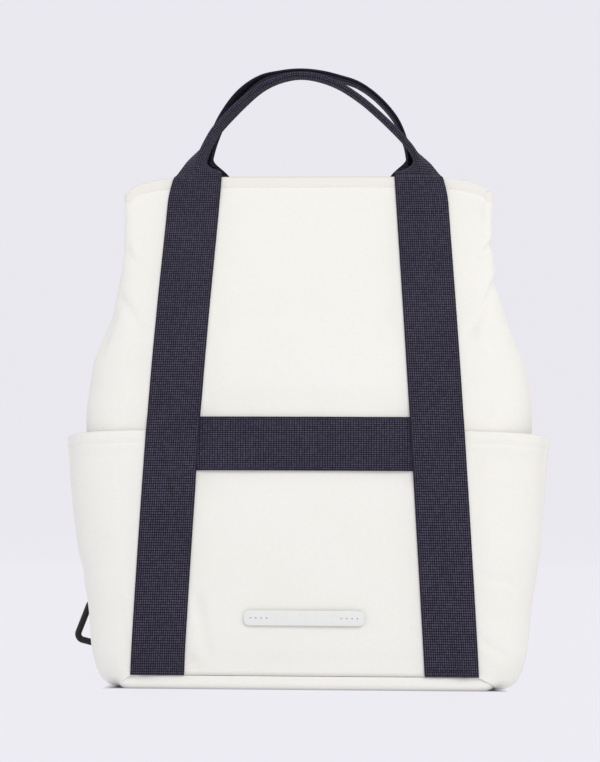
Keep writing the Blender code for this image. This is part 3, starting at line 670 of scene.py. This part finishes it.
# %% Base tray
BASE_ROLL = 12 * MM
BASE_FLOOR = 2.6 * MM
base_profile = []
for n in range(11):
    turn = n / 10 * pi / 2
    base_profile.append((5.5 * MM * (1 - cos(turn)), 6 * MM * (1 - sin(turn))))
base_profile += [(BASE_HEIGHT - 0.8 * MM, 0), (BASE_HEIGHT - 0.2 * MM, 0.3 * MM), (BASE_HEIGHT, 0.8 * MM),
                 (BASE_HEIGHT, CLOTH_WALL), (7 * MM, CLOTH_WALL + 0.8 * MM),
                 (BASE_FLOOR + 1 * MM, CLOTH_WALL + 3.5 * MM), (BASE_FLOOR, BASE_ROLL)]
BASE_COLUMNS = 480


def past_strap_corner(lane):
    """0 under the straps, 1 once past them round the corner, where the pocket covers the base."""
    return clamp((min(lane, 2 - lane) - 0.53) / 0.065)


def place_base(column, row):
    lane = 4 * column / BASE_COLUMNS
    z, inset = base_profile[row]
    flat_lane = folded_lane(lane)
    under = past_strap_corner(min(flat_lane, 2 - flat_lane) - 0.025)
    inset += under * (3 * MM + 11 * MM * (1 - z / BASE_HEIGHT) ** 2 + (DRAWN_IN if lane > 2 else 0))
    point = round_place(lane, BASE_HEIGHT, inset)
    if 2 < row < 12:
        sink = sag(point, 30 * MM, 0.5 * MM) * (1 - under)
        point -= (point - Vector((0, 0, z))).normalized() * sink
    return Vector((point.x, point.y, z)), (lane * ROUND_LANE_LENGTH, inset + z)


bm = moved_grid(BASE_COLUMNS, len(base_profile) - 1, place_base)
add_closed("base_cloth", bm, canvas, "base", 60)

# %% [markdown]
# ## Side pockets
# Each pocket is one piece of canvas that wraps round the side and tucks in under both
# straps. Its mouth stands off the body and has a 9 mm hem with the stitches in a groove below
# it. Past the straps its lowest part rolls in under the corner of the bag.

# %% Pockets
POCKET_GAP = 0.45 * MM
POCKET_WALL = 1.5 * MM
POCKET_HEM = 9 * MM
POCKET_LIP = 0.9 * MM
POCKET_BULGE = 11 * MM
POCKET_ROLL = 15 * MM
ROLL_ROWS = 12


def pocket_top(lane):
    share = (min(lane, 2 - lane) - SEAM_LANE) / (1 - SEAM_LANE)
    return POCKET_TOP - 5 * MM * ease(share)


def pocket_lane(z):
    share = 12 * MM / (outline_at(round(z, 5)).start - strap_middle(z))
    return mix(SEAM_LANE, CORNER_LANE, share)


def pocket_stand(lane, z):
    past_strap = ease((min(lane, 2 - lane) - 0.54) / 0.24)
    bulge = smooth_value(POCKET_ROWS, "bulge", z / POCKET_TOP)
    return POCKET_GAP + POCKET_WALL + POCKET_BULGE * bulge * past_strap


def pocket(name, hand, folds):
    columns, rows = 120, 76

    def place(column, row):
        share = column / columns
        z = SEAM + (POCKET_TOP - SEAM) * (1 - (1 - max(row - ROLL_ROWS, 0) / rows) ** 1.2)
        lane = mix(pocket_lane(z), 2 - pocket_lane(z), share)
        top = pocket_top(lane)
        z = SEAM + (z - SEAM) * (top - SEAM) / (POCKET_TOP - SEAM)
        point = lane_point(lane, z)
        free = clear_of_strap(point.x, z)
        rise = ease((z - SEAM) / (30 * MM))
        spot = Vector((hand * point.x, point.y + 0.3, z))
        stand = pocket_stand(lane, z)
        rise *= 1 - ease((z - top + POCKET_HEM + 10 * MM) / (8 * MM))
        sink = (sag(spot, 55 * MM, 1.6 * MM) + sag(spot, 20 * MM, 0.5 * MM)) * rise
        sink += fold_depth(folds, point.x - 6 * MM, z) * (1.0 if lane < 1 else 0.6)
        spare = stand - POCKET_WALL - POCKET_GAP
        sink = min(free * sink, 0.6 * spare + 1.6 * MM)
        sink -= 0.35 * MM * free * ease((z - top + POCKET_HEM) / MM)
        groove = 0.6 * MM * exp(-((top - POCKET_HEM - z) / (1.2 * MM)) ** 2) * free
        lip = max(POCKET_LIP - (top - z), 0.0)
        sink += groove + POCKET_LIP - sqrt(max(POCKET_LIP ** 2 - lip ** 2, 0.0))
        point += lane_outward(lane, z) * (stand - sink)
        round_corner = past_strap_corner(lane)
        if row < ROLL_ROWS:
            z = mix(mix(SEAM - 0.6 * MM, 0.8 * MM, round_corner), SEAM, row / ROLL_ROWS)
        roll = max(POCKET_ROLL - z, 0)
        inset = POCKET_ROLL - sqrt(POCKET_ROLL ** 2 - roll ** 2)
        point -= lane_outward(lane, SEAM) * (inset * round_corner)
        x = point.x - draw_in(hand, point.x, z)
        return Vector((hand * x, point.y, z)), (lane * SIDE_LANE_LENGTH, z)

    bm = moved_grid(columns, rows + ROLL_ROWS, place)
    add_sheet(name, bm, [name.replace("_cloth", "")], POCKET_WALL)


pocket("left_pocket_cloth", -1, LEFT_FOLDS[4:6])
pocket("right_pocket_cloth", 1, RIGHT_FOLDS[4:6])

# %% [markdown]
# ## The long straps
# One strap runs from the base seam up the face, round the handle and down again. On the
# cloth it lies flat. Above the mouth it is folded lengthwise in two, which gives a narrow
# handle. The section is a thin loop with round edges that the fold bends bit by bit.

# %% Strap sections
HANDLE_LAYER = 1.8 * MM
HANDLE_NOSE = 2.1 * MM
HANDLE_REACH = 21.5 * MM
HEM_STEP = 1 * MM
TURN_IN_START = 366 * MM
ACROSS = (-1.0, -0.99, -0.965, -0.93, -0.875, -0.8, -0.65, -0.5, -0.35, -0.25, -0.17, -0.1, -0.04)
ACROSS = ACROSS + (0.0,) + tuple(-a for a in reversed(ACROSS))
LOOP = [(a, 1) for a in ACROSS] + [(a, -1) for a in reversed(ACROSS)]
LOOP.append(LOOP[0])


def thickness(across):
    """Share of the full thickness: the edges are round and a groove marks the selvedge."""
    rest = min((1 - abs(across)) / 0.07, 1.0)
    groove = 0.16 * exp(-((abs(across) - 0.875) / 0.02) ** 2)
    return 0.3 + 0.7 * sqrt(1 - (1 - rest) ** 2) - groove


def webbing_depth(x, z, across, layer):
    return face_depth(x, z) + WEBBING_GAP + (1 + layer * thickness(across)) * WEBBING_WALL / 2


def webbing_lift(across, z, facing):
    over_pocket = ease(1 - (z - POCKET_TOP - HEM_STEP) / (14 * MM))
    over_pocket *= ease((across + 0.1) / 0.6)
    lift = over_pocket * (POCKET_GAP + POCKET_WALL)
    if facing < 0:
        away = abs(z - CROSS_MIDDLE) - WEBBING_HALF - HEM_STEP
        over_cross = ease(1 - away / (14 * MM)) * ease(1 - across / 0.6)
        lift = max(lift, over_cross * (WEBBING_GAP + WEBBING_WALL))
    return lift


def outer_width(across, z):
    """The strap's outer edge starts to turn in just under the mouth."""
    return 1 - 0.2 * clamp((z - TURN_IN_START) / (27 * MM)) ** 2 if across > 0 else 1


def leg_loop(z, hand, facing, length):
    points = []
    for across, layer in LOOP:
        x = strap_middle(z) + across * WEBBING_HALF * outer_width(across, z)
        depth = webbing_depth(x, z, across, layer) + webbing_lift(across, z, facing)
        points.append((Vector((hand * x, facing * depth, z)), (-across * WEBBING_HALF, length)))
    return points


def handle_loop(place, outward, folds, nose_depth, facing, length):
    """A section of the handle. folds holds how far the inner and the outer half are folded."""
    wall = mix(WEBBING_WALL, HANDLE_LAYER, folds[0])
    points = []
    for across, layer in LOOP:
        side = 1 if across >= 0 else -1
        fold = folds[1] if across > 0 else folds[0]
        turn = fold * pi / 2
        run = abs(across) * WEBBING_HALF * mix(outer_width(side, BODY_HEIGHT), 1, min(fold / 0.6, 1))
        arc = min(run, turn * HANDLE_NOSE)
        bend = arc / HANDLE_NOSE
        run -= (run - arc) * 0.25 * fold
        radius = HANDLE_NOSE - wall / 2 + layer * thickness(across) * wall / 2
        out = radius * sin(bend) + (run - arc) * cos(turn)
        inwards = HANDLE_NOSE - radius * cos(bend) + (run - arc) * sin(turn)
        point = place + outward * (side * out)
        bow = face_depth(abs(point.x), BODY_HEIGHT) - face_depth(abs(place.x), BODY_HEIGHT)
        point.y = facing * (nose_depth + bow * (1 - folds[0]) - inwards)
        points.append((point, (-across * WEBBING_HALF, length)))
    return points


print("points of a strap's section:", len(LOOP))

# %% [markdown]
# ## The handles' routes
# Each handle is a smooth curve through the places where it runs in the photo, as shares of
# half its span and of its rise. The sections along it are joined to one strip.

# %% Handle routes
STRAP_STEPS = 150
HANDLE = "across rise"
FRONT_HANDLE = table(
    HANDLE, (-1, 0), (-0.985, 0.11), (-0.955, 0.22), (-0.9, 0.36), (-0.83, 0.49),
    (-0.664, 0.695), (-0.476, 0.864), (-0.288, 0.96), (-0.097, 1), (0.094, 0.972), (0.283, 0.893),
    (0.472, 0.757), (0.64, 0.596), (0.782, 0.44), (0.872, 0.33), (0.945, 0.22), (0.985, 0.1),
    (1, 0))
BACK_HANDLE = table(
    HANDLE, (-1, 0), (-0.99, 0.14), (-0.96, 0.3), (-0.9, 0.46), (-0.8, 0.635),
    (-0.637, 0.82), (-0.459, 0.94), (-0.281, 0.985), (-0.099, 1), (0.082, 0.985), (0.262, 0.945),
    (0.444, 0.887), (0.624, 0.77), (0.79, 0.6), (0.882, 0.41), (0.918, 0.25), (0.952, 0.11),
    (1, 0))


def smooth_route(points, count):
    """Places at even steps along a smooth curve through the points."""
    curve = []
    last = len(points) - 1
    for n in range(count + 1):
        at = n / count * last
        i = min(int(at), last - 1)
        t = at - i
        before, after = points[max(i - 1, 0)], points[min(i + 2, last)]
        curve.append(0.5 * (2 * points[i] + (points[i + 1] - before) * t
                            + (2 * before - 5 * points[i] + 4 * points[i + 1] - after) * t * t
                            + (3 * points[i] - before - 3 * points[i + 1] + after) * t ** 3))
    return curve


def heading(route, n):
    return route[min(n + 1, len(route) - 1)] - route[max(n - 1, 0)]


def loft(sections):
    """Join loops of points, each with its UV, into one closed strip."""
    return moved_grid(len(sections[0]) - 1, len(sections) - 1, lambda column, row: sections[row][column])


def long_strap(name, facing, rows, rise, fold_start):
    """A strap. fold_start is how far above the mouth it begins to fold, in millimetres."""
    mouth_reach = face_depth(STRAP_HEAD, BODY_HEIGHT) + WEBBING_GAP + WEBBING_WALL
    foot = BODY_HEIGHT + HEM_STEP
    points = [Vector((row.across * STRAP_HEAD, 0, foot + row.rise * rise)) for row in rows]
    route = smooth_route(points, STRAP_STEPS)
    leg_height = BODY_HEIGHT - HEM_STEP - SEAM
    leg = [SEAM + leg_height * n / STRAP_STEPS for n in range(STRAP_STEPS + 1)]
    sections = [leg_loop(z, -1, facing, z) for z in leg]
    length = foot
    for n in range(1, STRAP_STEPS):
        along = heading(route, n).normalized()
        rise_now = (route[n].z - BODY_HEIGHT) / MM
        level = Vector((copysign(1, route[n].x), 0, 0))
        outward = Vector((-along.z, 0, along.x)).lerp(level, ease(1 - rise_now / 14)).normalized()
        length += (route[n] - route[n - 1]).length
        full = mix(1, 0.88, ease((-route[n].x / MM - 25) / 40))
        inner = full * ease((rise_now - fold_start - 1) / 15)
        outer = full * clamp((rise_now + 1 - 0.8 * fold_start) / 24) ** 0.62
        reach = mix(mouth_reach, HANDLE_REACH, ease(rise_now * MM / rise))
        sections.append(handle_loop(route[n], outward, (inner, outer), reach, facing, length))
    sections += [leg_loop(z, 1, facing, length + BODY_HEIGHT - z) for z in reversed(leg)]
    add_closed(name, loft(sections), webbing, name.replace("_strap", "_webbing"))


long_strap("front_strap", -1, FRONT_HANDLE, 85 * MM, 0)
long_strap("back_strap", 1, BACK_HANDLE, 94 * MM, 12)

# %% [markdown]
# ## The cross strap
# A short level strap joins the two uprights on the front, and its ends go in under them.

# %% Cross strap
CROSS_LAP = 9 * MM


def cross_section(share):
    points = []
    for across, layer in LOOP:
        z = CROSS_MIDDLE + across * WEBBING_HALF
        x = share * (strap_middle(z) - WEBBING_HALF + CROSS_LAP)
        depth = webbing_depth(x, z, across, layer)
        points.append((Vector((x, -depth, z)), (across * WEBBING_HALF, x)))
    return points


bm = loft([cross_section(n / 40 - 1) for n in range(81)])
add_closed("front_cross_strap", bm, webbing, "cross_strap")

# %% [markdown]
# ## Rings
# A steel ring hangs behind each lower corner, held by a tab and pulled by a shoulder strap.
# Only the left ring shows in the photo, so the rest is what a bag of this kind has. The wire
# is swept along a loop with rounded corners.

# %% Rings
RING_WIRE = 5.4 * MM
RING_MIDDLE = 39 * MM
RING_LEAN = radians(14)
RING_SIDES = 20
RING_GAP = 0.35 * MM
TAB_WALL = 1.4 * MM
TAB_WIDTH = 18 * MM
TAB_LAP = 14 * MM
REACH = {-1: 25 * MM, 1: 2 * MM}
BACKWARD = Vector((0, 1, 0))


def ring_frame(hand):
    """Middle of a ring, and its two leaning directions."""
    edge = strap_middle(RING_MIDDLE) + WEBBING_HALF
    out = Vector((cos(RING_LEAN), 0, sin(RING_LEAN)))
    up = Vector((-sin(RING_LEAN), 0, cos(RING_LEAN)))
    depth = face_depth(edge - TAB_LAP, RING_MIDDLE + 9 * MM) + WEBBING_GAP + WEBBING_WALL
    depth += POCKET_GAP + POCKET_WALL + WEBBING_GAP + TAB_WALL + RING_GAP
    middle = Vector((edge + REACH[hand] + 20 * MM, depth + RING_WIRE / 2, RING_MIDDLE))
    for vector in (out, up, middle):
        vector.x *= hand
    return middle, out, up


def ring_corners(hand):
    middle, out, up = ring_frame(hand)
    shares = ((-19.5, -16.5), (19.5, -16.5), (15.5, 16.5), (-15.5, 16.5))
    return [middle + out * across * MM + up * rise * MM for across, rise in shares]


def rounded_loop(corners, radius, steps):
    route = []
    for n, corner in enumerate(corners):
        to_before = (corners[n - 1] - corner).normalized()
        to_after = (corners[(n + 1) % len(corners)] - corner).normalized()
        half_angle = to_before.angle(to_after) / 2
        centre = corner + (to_before + to_after).normalized() * (radius / sin(half_angle))
        start = corner + to_before * (radius / tan(half_angle)) - centre
        end = corner + to_after * (radius / tan(half_angle)) - centre
        turn = start.angle(end)
        for step in range(steps + 1):
            share = step / steps
            route.append(centre + (start * sin((1 - share) * turn)
                                   + end * sin(share * turn)) / sin(turn))
    return route


def ring(name, hand):
    route = rounded_loop(ring_corners(hand), 5 * MM, 12)
    count = len(route)

    def place(column, row):
        n = row % count
        along = (route[(n + 1) % count] - route[n - 1]).normalized()
        across = along.cross(BACKWARD)
        turn = column / RING_SIDES * 2 * pi
        offset = across * cos(turn) + BACKWARD * sin(turn)
        return route[n] + offset * RING_WIRE / 2, (column * 0.8 * MM, row * MM)

    add_closed(name, moved_grid(RING_SIDES, count, place), steel, name.replace("_steel", ""), 80)


ring("left_ring_steel", -1)
ring("right_ring_steel", 1)

# %% [markdown]
# ## Tabs of narrow webbing
# A flat strip follows a route, with a direction across and a width at every step. A tab goes
# round the bar of its ring and ends as two layers under the back strap.

# %% Strips of webbing
def strip(name, route, across, widths, wall, material, replaced):
    """A flat strip along a route, with round edges."""
    sections = []
    length = 0.0
    for n, place in enumerate(route):
        out = heading(route, n).cross(across[n]).normalized()
        length += (route[n] - route[max(n - 1, 0)]).length
        loop = []
        for a, layer in LOOP:
            spot = place + across[n] * (a * widths[n] / 2) + out * (layer * thickness(a) * wall / 2)
            loop.append((spot, (a * widths[n] / 2, length)))
        sections.append(loop)
    add_closed(name, loft(sections), material, replaced)


def bar_hairpin(middle, pull, wall):
    radius = RING_WIRE / 2 + RING_GAP + wall / 2
    turns = [n / 14 * pi for n in range(15)]
    return [middle + Vector((0, radius * cos(t), 0)) - pull * radius * sin(t) for t in turns]


def finer(route, parts):
    """Split every step of a route into equal parts."""
    split = [route[0]]
    for before, after in zip(route, route[1:]):
        split += [before.lerp(after, part / parts) for part in range(1, parts + 1)]
    return split


def ring_tab(name, hand):
    corners = ring_corners(hand)
    bar = (corners[3] - corners[0]).normalized()
    middle = (corners[0] + corners[3]) / 2
    pull = bar.cross(BACKWARD)
    if pull.x * hand > 0:
        pull.negate()
    turn = bar_hairpin(middle, pull, TAB_WALL)
    near = turn[-1] + pull * (REACH[hand] + TAB_LAP)
    far = near + Vector((0, TAB_WALL + RING_GAP, 0))
    bend = turn[0] + pull * RING_WIRE
    bend.y = mix(turn[0].y, far.y, 0.25)
    settle = turn[0] + pull * (RING_WIRE + TAB_LAP / 2)
    settle.y = far.y
    route = finer([far, settle, bend] + turn + [near], 2)
    across, widths = [bar] * len(route), [TAB_WIDTH] * len(route)
    strip(name, route, across, widths, TAB_WALL, narrow_webbing, name.replace("_tape", ""))


ring_tab("left_ring_tab_tape", -1)
ring_tab("right_ring_tab_tape", 1)

# %% [markdown]
# ## Shoulder straps
# Each strap starts flat near the top of the back, bows out while it gets narrower, and turns
# round the upper bar of its ring. A table gives the curve of the bow.

# %% Shoulder straps
SHOULDER_WALL = 2.4 * MM
SHOULDER_GAP = 0.75 * MM
SHOULDER_X = 42 * MM
SHOULDER_EDGE = 22 * MM
SHOULDER_TOP = 352 * MM
SHOULDER_LAP = 34 * MM
SHOULDER_END = 22 * MM
SHOULDER_BOW = 42 * MM
STRAP_ROWS = table("across down bow", (0.00, 0.00, 0.00), (0.04, 0.08, 0.16), (0.12, 0.22, 0.55),
                   (0.27, 0.41, 0.93), (0.48, 0.60, 1.00), (0.72, 0.79, 0.72), (0.90, 0.93, 0.30),
                   (1.00, 1.00, 0.00))


def shoulder_strap(name, hand):
    corners = ring_corners(hand)
    bar = (corners[2] - corners[3]).normalized()
    middle = (corners[2] + corners[3]) / 2
    pull = ring_frame(hand)[2]
    turn = bar_hairpin(middle, pull, SHOULDER_WALL)
    lying = SHOULDER_GAP + SHOULDER_WALL / 2
    top = []
    for share in (0.0, 0.25, 0.5, 0.75, 1.0):
        z = SHOULDER_TOP - share * SHOULDER_LAP
        top.append(Vector((hand * SHOULDER_X, face_depth(SHOULDER_EDGE, z) + lying, z)))
    start, end = top[-1], turn[0] + pull * SHOULDER_END
    hang = []
    for row in STRAP_ROWS:
        z = mix(start.z, end.z, row.down)
        back = face_depth(SHOULDER_EDGE, z) + lying
        y = mix(back, end.y, ease(row.down)) + row.bow * SHOULDER_BOW
        hang.append(Vector((mix(start.x, end.x, row.across), y, z)))
    hang = smooth_route(hang, 60)
    inner_end = turn[-1] + pull * SHOULDER_END
    inner_end.y = end.y - SHOULDER_WALL - SHOULDER_GAP
    route = top[:-1] + hang + turn + [inner_end]
    across, widths = [], []
    for n, place in enumerate(route):
        down = (start.z - place.z) / (start.z - end.z)
        level = heading(route, n).cross(BACKWARD)
        level = level.normalized() if level.length > 0 else bar.copy()
        if level.dot(bar) < 0:
            level.negate()
        past_end = n >= len(top) - 1 + len(hang)
        across.append(level.lerp(bar, 1 if past_end else ease((down - 0.8) / 0.2)).normalized())
        widths.append(mix(40 * MM, 20 * MM, ease((down - 0.55) / 0.4)))
    strip(name, route, across, widths, SHOULDER_WALL, webbing, name.replace("_strip", ""))


shoulder_strap("left_shoulder_strap_strip", -1)
shoulder_strap("right_shoulder_strap_strip", 1)

# %% [markdown]
# ## The small plate
# The plate is cut from one slab. A vertex bevel rounds its corners, the slab gets its
# thickness, its front edge is bevelled, and then it is bent to the cloth. It stays blank.

# %% Plate
PLATE_HEIGHT = 53.5 * MM
PLATE_WALL = 1.2 * MM
bm = bmesh.new()
bmesh.ops.create_grid(bm, x_segments=1, y_segments=1, size=0.5)
bmesh.ops.scale(bm, vec=(89 * MM, 11.3 * MM, 1), verts=bm.verts)
bmesh.ops.bevel(bm, geom=bm.verts[:], offset=4 * MM, affect="VERTICES", segments=10, profile=0.5, material=-1)
slab = bmesh.ops.extrude_face_region(bm, geom=bm.faces[:])
lifted = [v for v in slab["geom"] if isinstance(v, bmesh.types.BMVert)]
bmesh.ops.translate(bm, vec=(0, 0, PLATE_WALL), verts=lifted)
bmesh.ops.recalc_face_normals(bm, faces=bm.faces)
front_edges = [e for e in bm.edges if all(v.co.z > 1 * MM for v in e.verts)]
bmesh.ops.bevel(bm, geom=front_edges, offset=0.45 * MM, affect="EDGES", segments=4, profile=0.5, material=-1)
for n in range(-10, 11):
    bmesh.ops.bisect_plane(bm, geom=bm.verts[:] + bm.edges[:] + bm.faces[:], dist=0.01 * MM,
                           plane_co=(n * 4 * MM, 0, 0), plane_no=(1, 0, 0))
bm.loops.layers.uv.new("length")
for vert in bm.verts:
    x, up, out = vert.co
    z = PLATE_HEIGHT + up
    vert.co = Vector((x, -face_depth(x, z) - 0.3 * MM - out, z))
bmesh.ops.recalc_face_normals(bm, faces=bm.faces)
add_piece("name_plate_rubber", bm, rubber, ["name_plate"], sharp=60)

# %% [markdown]
# ## Stitches
# The rows of thread that the eye finds are modelled: along the mouth and under both pocket
# hems here, and on the straps and the plate next. One stitch is a small flattened bead with
# few faces, because there are hundreds.

# %% Stitch rows
STITCH_SINK = 0.42 * MM


def resample(points, pitch):
    """Pairs of points along a route, a pitch apart."""
    ends = [points[0]]
    left = pitch
    for before, after in zip(points, points[1:]):
        step = (after - before).length
        at = 0.0
        while step - at >= left:
            at += left
            ends.append(before.lerp(after, at / step))
            left = pitch
        left -= step - at
    return list(zip(ends, ends[1:]))


def sew(bm, points, lean, pitch=3.6 * MM, thread=0.5 * MM):
    """Add stitches along a route. They face away from the middle, by lean along x and y."""
    for start, end in resample(points, pitch):
        middle = (start + end) / 2
        along = (end - start).normalized()
        out = Vector((middle.x * lean[0], middle.y * lean[1], 0)).normalized()
        side = along.cross(out).normalized()
        turn = Matrix((along, side, out)).transposed().to_4x4()
        size = Matrix.Diagonal((pitch * 0.38, thread / 2, thread / 2, 1))
        bmesh.ops.create_uvsphere(bm, u_segments=6, v_segments=4, radius=1,
                                  matrix=Matrix.Translation(middle) @ turn @ size)


bm = bmesh.new()
for hand in (-1, 1):
    for low, high in ((0.0, 0.50), (0.53, 0.985), (1.015, 1.47), (1.50, 2.0)):
        rows = []
        for n in range(61):
            lane = mix(low, high, n / 60)
            z = side_mouth_height(lane) - MOUTH_HEM
            spot = lane_point(lane, z) - lane_outward(lane, z) * STITCH_SINK
            rows.append(Vector((hand * spot.x, spot.y, z)))
        sew(bm, rows, (0.2, 1))
add_piece("mouth_stitches", bm, cream_thread, sharp=80)

bm = bmesh.new()
for hand in (-1, 1):
    rows = []
    for n in range(181):
        lane = mix(0.50, 1.50, n / 180)
        z = pocket_top(lane) - POCKET_HEM
        spot = lane_point(lane, z) + lane_outward(lane, z) * (pocket_stand(lane, z) - STITCH_SINK)
        rows.append(Vector((hand * spot.x, spot.y, z)))
    sew(bm, rows, (1, 0.9))
add_piece("pocket_stitches", bm, cream_thread, sharp=80)

# %% [markdown]
# ## Stitches on the straps
# Thick navy thread crosses each strap just under the mouth and just above the base. A box
# with a diagonal holds each shoulder strap, and four grey dots sit at each end of the plate.

# %% Stitches on the straps
def strap_row(z, facing, hand):
    points = []
    for n in range(21):
        across = mix(-0.86, 0.86, n / 20)
        x = strap_middle(z) + across * WEBBING_HALF
        lift = webbing_lift(across, z, facing)
        depth = face_depth(x, z) + WEBBING_GAP + WEBBING_WALL + lift - 0.3 * MM
        points.append(Vector((hand * x, facing * depth, z)))
    return points


bm = bmesh.new()
for facing in (-1, 1):
    for hand in (-1, 1):
        for z in (361 * MM, 15 * MM):
            sew(bm, strap_row(z, facing, hand), (0, 1), 2.9 * MM, 1.4 * MM)
for hand in (-1, 1):
    box = []
    for across, z in ((-16, 347), (16, 347), (16, 323), (-16, 323), (-16, 347), (16, 323)):
        box.append((hand * SHOULDER_X + across * MM, z * MM))
    route = []
    for (x0, z0), (x1, z1) in zip(box, box[1:]):
        for n in range(9):
            z = mix(z0, z1, n / 8)
            depth = face_depth(SHOULDER_EDGE, z) + SHOULDER_GAP + SHOULDER_WALL + 0.05 * MM
            route.append(Vector((mix(x0, x1, n / 8), depth, z)))
    sew(bm, route, (0, 1), 3.4 * MM, 0.6 * MM)
add_piece("strap_stitches", bm, navy_thread, sharp=80)

bm = bmesh.new()
for x in (-39.5, -35.5, -31.5, -27.5, 27.5, 31.5, 35.5, 39.5):
    spot = Vector((x * MM, -face_depth(x * MM, PLATE_HEIGHT) - 1.5 * MM, PLATE_HEIGHT))
    bmesh.ops.create_uvsphere(bm, u_segments=10, v_segments=6, radius=0.62 * MM,
                              matrix=Matrix.Translation(spot) @ Matrix.Diagonal((1, 0.35, 1, 1)))
add_piece("plate_stitches", bm, grey_thread, sharp=80)

# %% [markdown]
# ## Floor and backdrop
# The photo has an even, pale lavender-grey ground and almost no shadow. A round floor whose rim sweeps up
# like a bowl hides the horizon. It glows a little by itself, so that it stays evenly bright, and round the
# base its glow is turned down, which paints a faint contact shadow.

# %% Stage
BASE_REACH = (141 * MM, 64 * MM)
FLOOR_RADIUS = 4.5
RIM_RADIUS = 2
WALL_HEIGHT = 6
paper, tree, shader = new_finish("matt_backdrop_paper", 0.9, 0.1)
shader.inputs["Base Color"].default_value = linear("#46454A")
shader.inputs["Emission Color"].default_value = linear("#EBEAF0")
# Painted shadow: the glow fades out within 10 mm of the base and almost stops under it, where the bag stands.
place = own_place(tree)
past_side, past_front = (
    calculate(tree, "SUBTRACT", calculate(tree, "ABSOLUTE", coordinate(tree, place, axis)), reach)
    for axis, reach in enumerate(BASE_REACH))
glow_with_painted_shadow = ramp(tree, calculate(tree, "MAXIMUM", past_side, past_front), 0.0, 10 * MM, 0.05, 0.93)
tree.links.new(glow_with_painted_shadow[0].outputs[0], shader.inputs["Emission Strength"])

profile = [(0, 0)]
for n in range(40):
    bend = n / 39 * pi / 2
    profile.append((FLOOR_RADIUS + RIM_RADIUS * sin(bend), RIM_RADIUS * (1 - cos(bend))))
profile.append((FLOOR_RADIUS + RIM_RADIUS, WALL_HEIGHT))
bm = bmesh.new()
spots = [bm.verts.new((reach, 0, z)) for reach, z in profile]
for ends in zip(spots, spots[1:]):
    bm.edges.new(ends)
bmesh.ops.spin(bm, geom=bm.verts[:] + bm.edges[:], cent=(0, 0, 0), axis=(0, 0, 1),
               angle=2 * pi, steps=96, use_merge=True, use_duplicate=False)
bmesh.ops.remove_doubles(bm, verts=bm.verts, dist=0.1 * MM)
face_away(bm, Vector((0, 0, 3)))
bmesh.ops.reverse_faces(bm, faces=bm.faces)
mesh = bpy.data.meshes.new("floor")
bm.to_mesh(mesh)
bm.free()
mesh.materials.append(paper)
mesh.shade_smooth()
floor = add_object("floor", mesh)
print("floor", len(mesh.polygons), "faces")

# %% [markdown]
# ## Lamps
# A large soft lamp stands in front and above, a weaker one hangs over the bag, and two more
# fill the sides. The world adds an even light from everywhere.

# %% Lamps
LAMP_AIM = Vector((0, 0, 0.2))


def lamp(name, spot, size, power, colour):
    data = bpy.data.lights.new(name, "AREA")
    data.shape = "SQUARE"
    data.size = size
    data.energy = power
    data.color = linear(colour)[:3]
    lamp_object = add_object(name, data)
    lamp_object.location = spot
    lamp_object.rotation_euler = (LAMP_AIM - Vector(spot)).to_track_quat("-Z", "Y").to_euler()


lamp("front_softbox", (0.7, -2.35, 1.45), 1.4, 24, "#FFFEFA")
lamp("left_fill", (-2.6, -0.7, 0.9), 1.6, 8, "#F6F8FF")
lamp("right_fill", (2.6, -0.5, 0.9), 1.6, 5.5, "#FFFDF8")
lamp("top_softbox", (0.0, 0.6, 2.4), 1.6, 9.5, "#FFFFFF")
world = bpy.data.worlds.new("soft_room")
world.use_nodes = True
background = world.node_tree.nodes["Background"]
background.inputs["Color"].default_value = linear("#EBEAF0")
background.inputs["Strength"].default_value = 0.525
scene.world = world
scene.view_settings.view_transform = "Standard"
